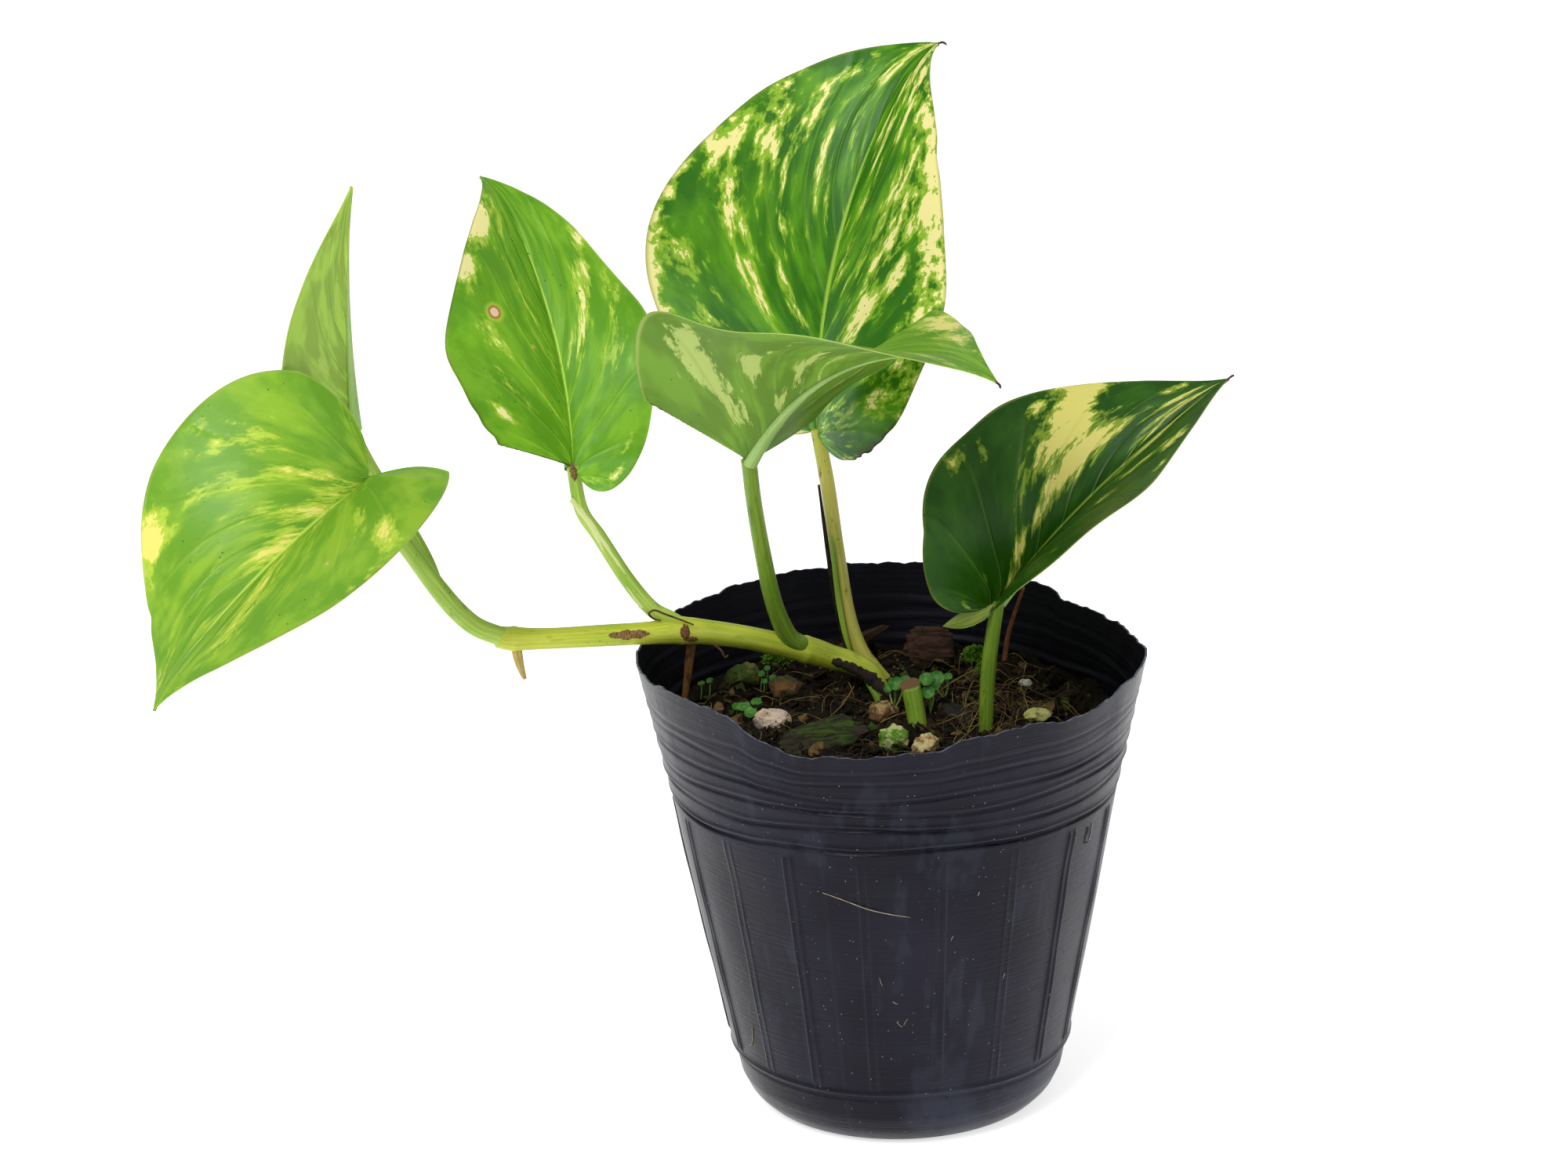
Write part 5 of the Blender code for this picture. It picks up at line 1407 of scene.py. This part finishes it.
def pot_look():
    """Thin black polythene: satin, scuffed, with water marks, dust and fine scratches; its inner side is
    darkened as painted shade.
    """
    look = Look("pot_plastic_fine", Specular_IOR_Level=0.17, Specular_Tint=(0.80, 0.78, 1.0, 1.0))
    angle, height, inside = look.parts(look.attribute("wall", "Vector"))
    place = look.place()
    cloud = look.noise(look.stretch(place, 38, 38, 30), 1.0, 4.0, 0.6)
    runs = look.noise(look.stretch(place, 130, 130, 14), 1.0, 3.0, 0.6)
    rings = look.noise(look.vector(angle * 1.6, height * 1.4, inside), 1.0, 4.0, 0.7)
    body = look.mix(look.step(cloud, 0.35, 0.7), (10, 9, 15), (22, 21, 32))
    smudge = look.step(look.noise(look.stretch(place, 70, 70, 40), 1.0, 3.0, 0.7), 0.57, 0.66)
    body = look.mix(smudge * 0.25, body, (46, 52, 64))
    body = look.mix(look.step(runs, 0.60, 0.72) * 0.14, body, (70, 74, 88))
    low = look.step(height, 22, 4)
    body = look.mix(low * look.step(cloud, 0.45, 0.6) * 0.3, body, (60, 64, 78))
    dust = look.cells(look.stretch(place, 700, 700, 640), 1.0)
    patchy = look.step(look.noise(place, 420, 1.0), 0.50, 0.56)
    grain = look.step(dust, 0.10, 0.06) * patchy * (1.0 - inside)
    body = look.mix(grain * 0.8, body, (150, 148, 144))
    pin = look.step(look.cells(look.stretch(place, 190, 190, 180), 1.0), 0.07, 0.05) * (1.0 - inside)
    body = look.mix(pin, body, (4, 4, 4))
    green = look.step(look.noise(look.stretch(place, 45, 45, 60), 1.0, 3.0), 0.62, 0.72)
    body = look.mix(green * 0.15, body, (44, 62, 50))
    # Painted shade: the inner side of the wall is darkened.
    body = look.mix(inside * 0.75, body, (8, 9, 14))
    look.set(Base_Color=body)
    scuffs = smudge * 0.1 + grain * 0.3 + inside * 0.1
    look.set(Roughness=0.30 + 0.2 * (cloud - 0.5) + 0.16 * (runs - 0.5) + scuffs)
    crinkle = look.noise(look.stretch(place, 60, 60, 45), 1.0, 4.0, 0.55) + rings * 0.55 + grain * 0.4
    look.set(Normal=look.bump(crinkle, 0.9, 0.35))
    return look


def plain_look(name, first, second, roughness, scale=400, relief=0.3, specular=0.5):
    """Two colours mingled by a fine noise."""
    look = Look(name, Specular_IOR_Level=specular)
    cloud = look.noise(look.place(), scale, 4.0, 0.65)
    look.set(Base_Color=look.mix(look.step(cloud, 0.38, 0.62), first, second))
    look.set(Roughness=roughness + 0.2 * (cloud - 0.5), Normal=look.bump(cloud, relief, 0.7))
    return look


def stone_look(kind):
    main, second, hollow, share = STONE_LOOKS[kind]
    look = Look("stone_" + kind, Specular_IOR_Level=0.3)
    place = look.place()
    depth, up, _ = look.parts(look.attribute("grain", "Vector"))
    cloud = look.noise(place, 230, 4.0, 0.6)
    grain = look.noise(place, 1400, 3.0, 0.7)
    body = look.mix(look.step(cloud, 0.72 - share * 0.5, 0.82 - share * 0.5), main, second)
    body = look.mix(look.step(grain, 0.60, 0.72) * 0.5, body, [min(255, c * 1.14) for c in main])
    pits = look.cells(place, 520)
    body = look.mix(look.step(pits, 0.24, 0.12) * look.step(cloud, 0.44, 0.54) * 0.85, body, hollow)
    body = look.mix(look.step(depth, 0.06, 0.0) * 0.75, body, hollow)
    # Darker towards the bottom of the stone.
    body = look.mix(look.step(up, 0.25, -0.55) * 0.75, body, hollow)
    look.set(Base_Color=body, Roughness=0.82 + 0.25 * (grain - 0.5))
    look.set(Normal=look.bump(grain * 0.6 + cloud, 0.6, 0.8))
    return look


def bark_look(name, first, second, third, moss=0.0):
    look = Look(name, Specular_IOR_Level=0.25)
    layers, up, _ = look.parts(look.attribute("grain", "Vector"))
    place = look.place()
    cloud = look.noise(place, 190, 4.0, 0.65)
    threads = look.noise(look.stretch(place, 160, 900, 900), 1.0, 4.0, 0.65)
    body = look.mix(look.step(threads * 0.6 + layers * 0.25 + 0.2, 0.36, 0.62), first, second)
    body = look.mix(look.step(cloud, 0.56, 0.68) * 0.7, body, third)
    if moss:
        patches = look.step(look.noise(place, 120, 3.0), 0.60 - moss * 0.2, 0.66 - moss * 0.2)
        green = look.mix(look.step(threads, 0.4, 0.6), (30, 42, 10), (58, 76, 20))
        body = look.mix(patches * look.step(up, -0.2, 0.4) * 0.9, body, green)
    look.set(Base_Color=body, Roughness=0.85 + 0.2 * (cloud - 0.5))
    look.set(Normal=look.bump(threads + cloud * 0.6, 0.8, 0.9))
    return look


def seedling_look():
    look = Look("seedling_leaf", Specular_IOR_Level=0.2)
    rim, _, _ = look.parts(look.attribute("grain", "Vector"))
    cloud = look.noise(look.place(), 700, 3.0)
    body = look.mix(look.step(cloud, 0.4, 0.65), (52, 104, 34), (82, 134, 52))
    body = look.mix(look.step(rim, 0.35, 0.0) * 0.6, body, (116, 158, 82))
    look.set(Base_Color=body, Roughness=0.5 + 0.1 * (cloud - 0.5), Normal=look.bump(cloud, 0.15, 0.5))
    return look


# Stage

def make_looks():
    """The looks that come from tables, by name."""
    looks = {}
    for build, table in (
        (stem_look, STEM_LOOKS), (dry_look, DRY_LOOKS), (plain_look, PLAIN_LOOKS), (bark_look, BARK_LOOKS),
    ):
        looks.update({name: build(name, *values) for name, values in table.items()})
    return looks


def make_stage():
    """A pale floor, soft light from all round and a large light above and in front."""
    floor_look = Look("floor_white", Roughness=0.9, Specular_IOR_Level=0.0)
    floor_look.set(Base_Color=WHITE, Emission_Color=WHITE, Emission_Strength=FLOOR_GLOW)
    bpy.ops.mesh.primitive_plane_add(size=12, location=(0, 2, 0))
    floor = bpy.context.object
    floor.name = "floor"
    floor.data.materials.append(floor_look.material)
    world = bpy.data.worlds.new("studio")
    world.use_nodes = True
    sky = world.node_tree.nodes["Background"]
    sky.inputs["Color"].default_value = WHITE
    sky.inputs["Strength"].default_value = SKY_STRENGTH
    bpy.context.scene.world = world
    for name, place, size, power in LIGHTS:
        light = bpy.data.lights.new(name, "AREA")
        light.shape = "SQUARE"
        light.size = size
        light.energy = power
        lamp = bpy.data.objects.new(name, light)
        lamp.location = place
        lamp.rotation_euler = (Vector(LIT_POINT) - Vector(place)).to_track_quat("-Z", "Y").to_euler()
        bpy.context.scene.collection.objects.link(lamp)


def make_camera():
    """A long lens a metre in front, looking down and turned slightly about its axis."""
    pitch, roll = radians(CAMERA_PITCH), radians(CAMERA_ROLL)
    right, up = Vector((1, 0, 0)), Vector((0, sin(pitch), cos(pitch)))
    ahead = Vector((0, cos(pitch), -sin(pitch)))
    turned_right = right * cos(roll) + up * sin(roll)
    turned_up = up * cos(roll) - right * sin(roll)
    lens = bpy.data.cameras.new("camera")
    lens.lens = CAMERA_LENS
    lens.sensor_width = 36
    lens.clip_start = 0.05
    lens.clip_end = 50
    camera = bpy.data.objects.new("camera", lens)
    axes = Matrix((turned_right, turned_up, -ahead)).transposed().to_4x4()
    camera.matrix_world = Matrix.Translation(Vector(CAMERA_PLACE) * MM) @ axes
    bpy.context.scene.collection.objects.link(camera)
    bpy.context.scene.camera = camera


# The whole plant

def put(piece, node=None):
    """Hangs a piece on the part's one body, and hides the node it stands for."""
    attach(piece, "root")
    if node:
        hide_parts(node)


def put_strips(piece, looks):
    node, titles, strips = STRIPS[piece]
    shape = Shape()
    for line, width, values in strips:
        ribbon(shape, line, width, **values)
    put(shape.object(piece, *(looks[title] for title in titles)), node)


def put_leaves(looks):
    for name, (title, slot, *values) in LEAF_LOOKS.items():
        rib = looks["midrib_rear" if name == "leaf_rear" else "midrib_pale"]
        put(make_leaf(name, leaf_look(title, *values), rib), name)
    put_strips("leaf_right_lobe", looks)


def put_stalks(looks):
    for name, (title, slot) in STALK_LOOKS.items():
        cut = looks["cut_wood"] if name == "cut_stub" else None
        put(make_stalk(name, looks[title], cut), name)


def put_stem_marks(looks):
    """The dead sheaths, the torn one at the vine's joint with its curled ends, and the corky scars."""
    for piece in ("sheath_rear_fine", "sheath_left_fine", "stem_sheath_fine"):
        put_strips(piece, looks)
    shape = Shape()
    skin_patch(shape, "vine_stem", 0.618, 0.25, 0.014, 0.55, 0.3)
    skin_patch(shape, "vine_stem", 0.592, -0.3, 0.024, 0.24, 0.35)
    thread(shape, SHORT_CURL, 0.6, rows=20)
    thread(shape, LONG_CURL, 0.55, rows=40)
    put(shape.object("node_sheath_fine", looks["sheath_brown"]), "node_sheath")
    shape = Shape()
    skin_patch(shape, "vine_stem", 0.728, 0.32, 0.036, 0.42)
    skin_patch(shape, "petiole_left", 0.988, 0.0, 0.035, 0.5, 0.35)
    put(shape.object("stem_scars", scar_look("scab")))


def put_pot(looks):
    plastic = pot_look()
    put(make_pot(plastic, looks["pot_edge"]), "pot")
    put(make_pot_floor(plastic), None)
    shape = Shape()
    add_wall_marks(shape)
    put(shape.object("wall_marks", *(looks[title] for title in ("dust_pale", "nick_dark", "nick_pale"))))


def put_soil(looks):
    soil, crumb, tan = (looks[title] for title in ("soil_dark", "crumb_brown", "crumb_tan"))
    put(make_soil(soil), "soil")
    put(make_crumbs((soil, crumb, tan, looks["crumb_moss"])))
    put(make_litter((soil, crumb, tan)))
    put(make_fibres([looks[title] for title in ("fibre_straw", "fibre_brown", "fibre_dark")]))


def put_stones(looks):
    for name, (*_, kind) in STONES.items():
        put(make_stone(name, stone_look(kind)), name)
    for name, title in zip(BARK, BARK_LOOKS):
        put(make_bark(name, looks[title]), name)


def put_growth(looks):
    for name in MOSS:
        put(make_moss(name, looks["moss_leaf"]), name)
    sprout, stalk = seedling_look(), looks["seedling_stalk"]
    for name in SEEDLINGS:
        put(make_seedling(name, sprout, stalk), name)
    put(make_weeds(sprout, stalk))


def main():
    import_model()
    bpy.context.scene.view_settings.view_transform = "Standard"
    looks = make_looks()
    for put_group in (put_leaves, put_stalks, put_stem_marks, put_pot, put_soil, put_stones, put_growth):
        put_group(looks)
    make_stage()
    make_camera()
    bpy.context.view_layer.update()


main()
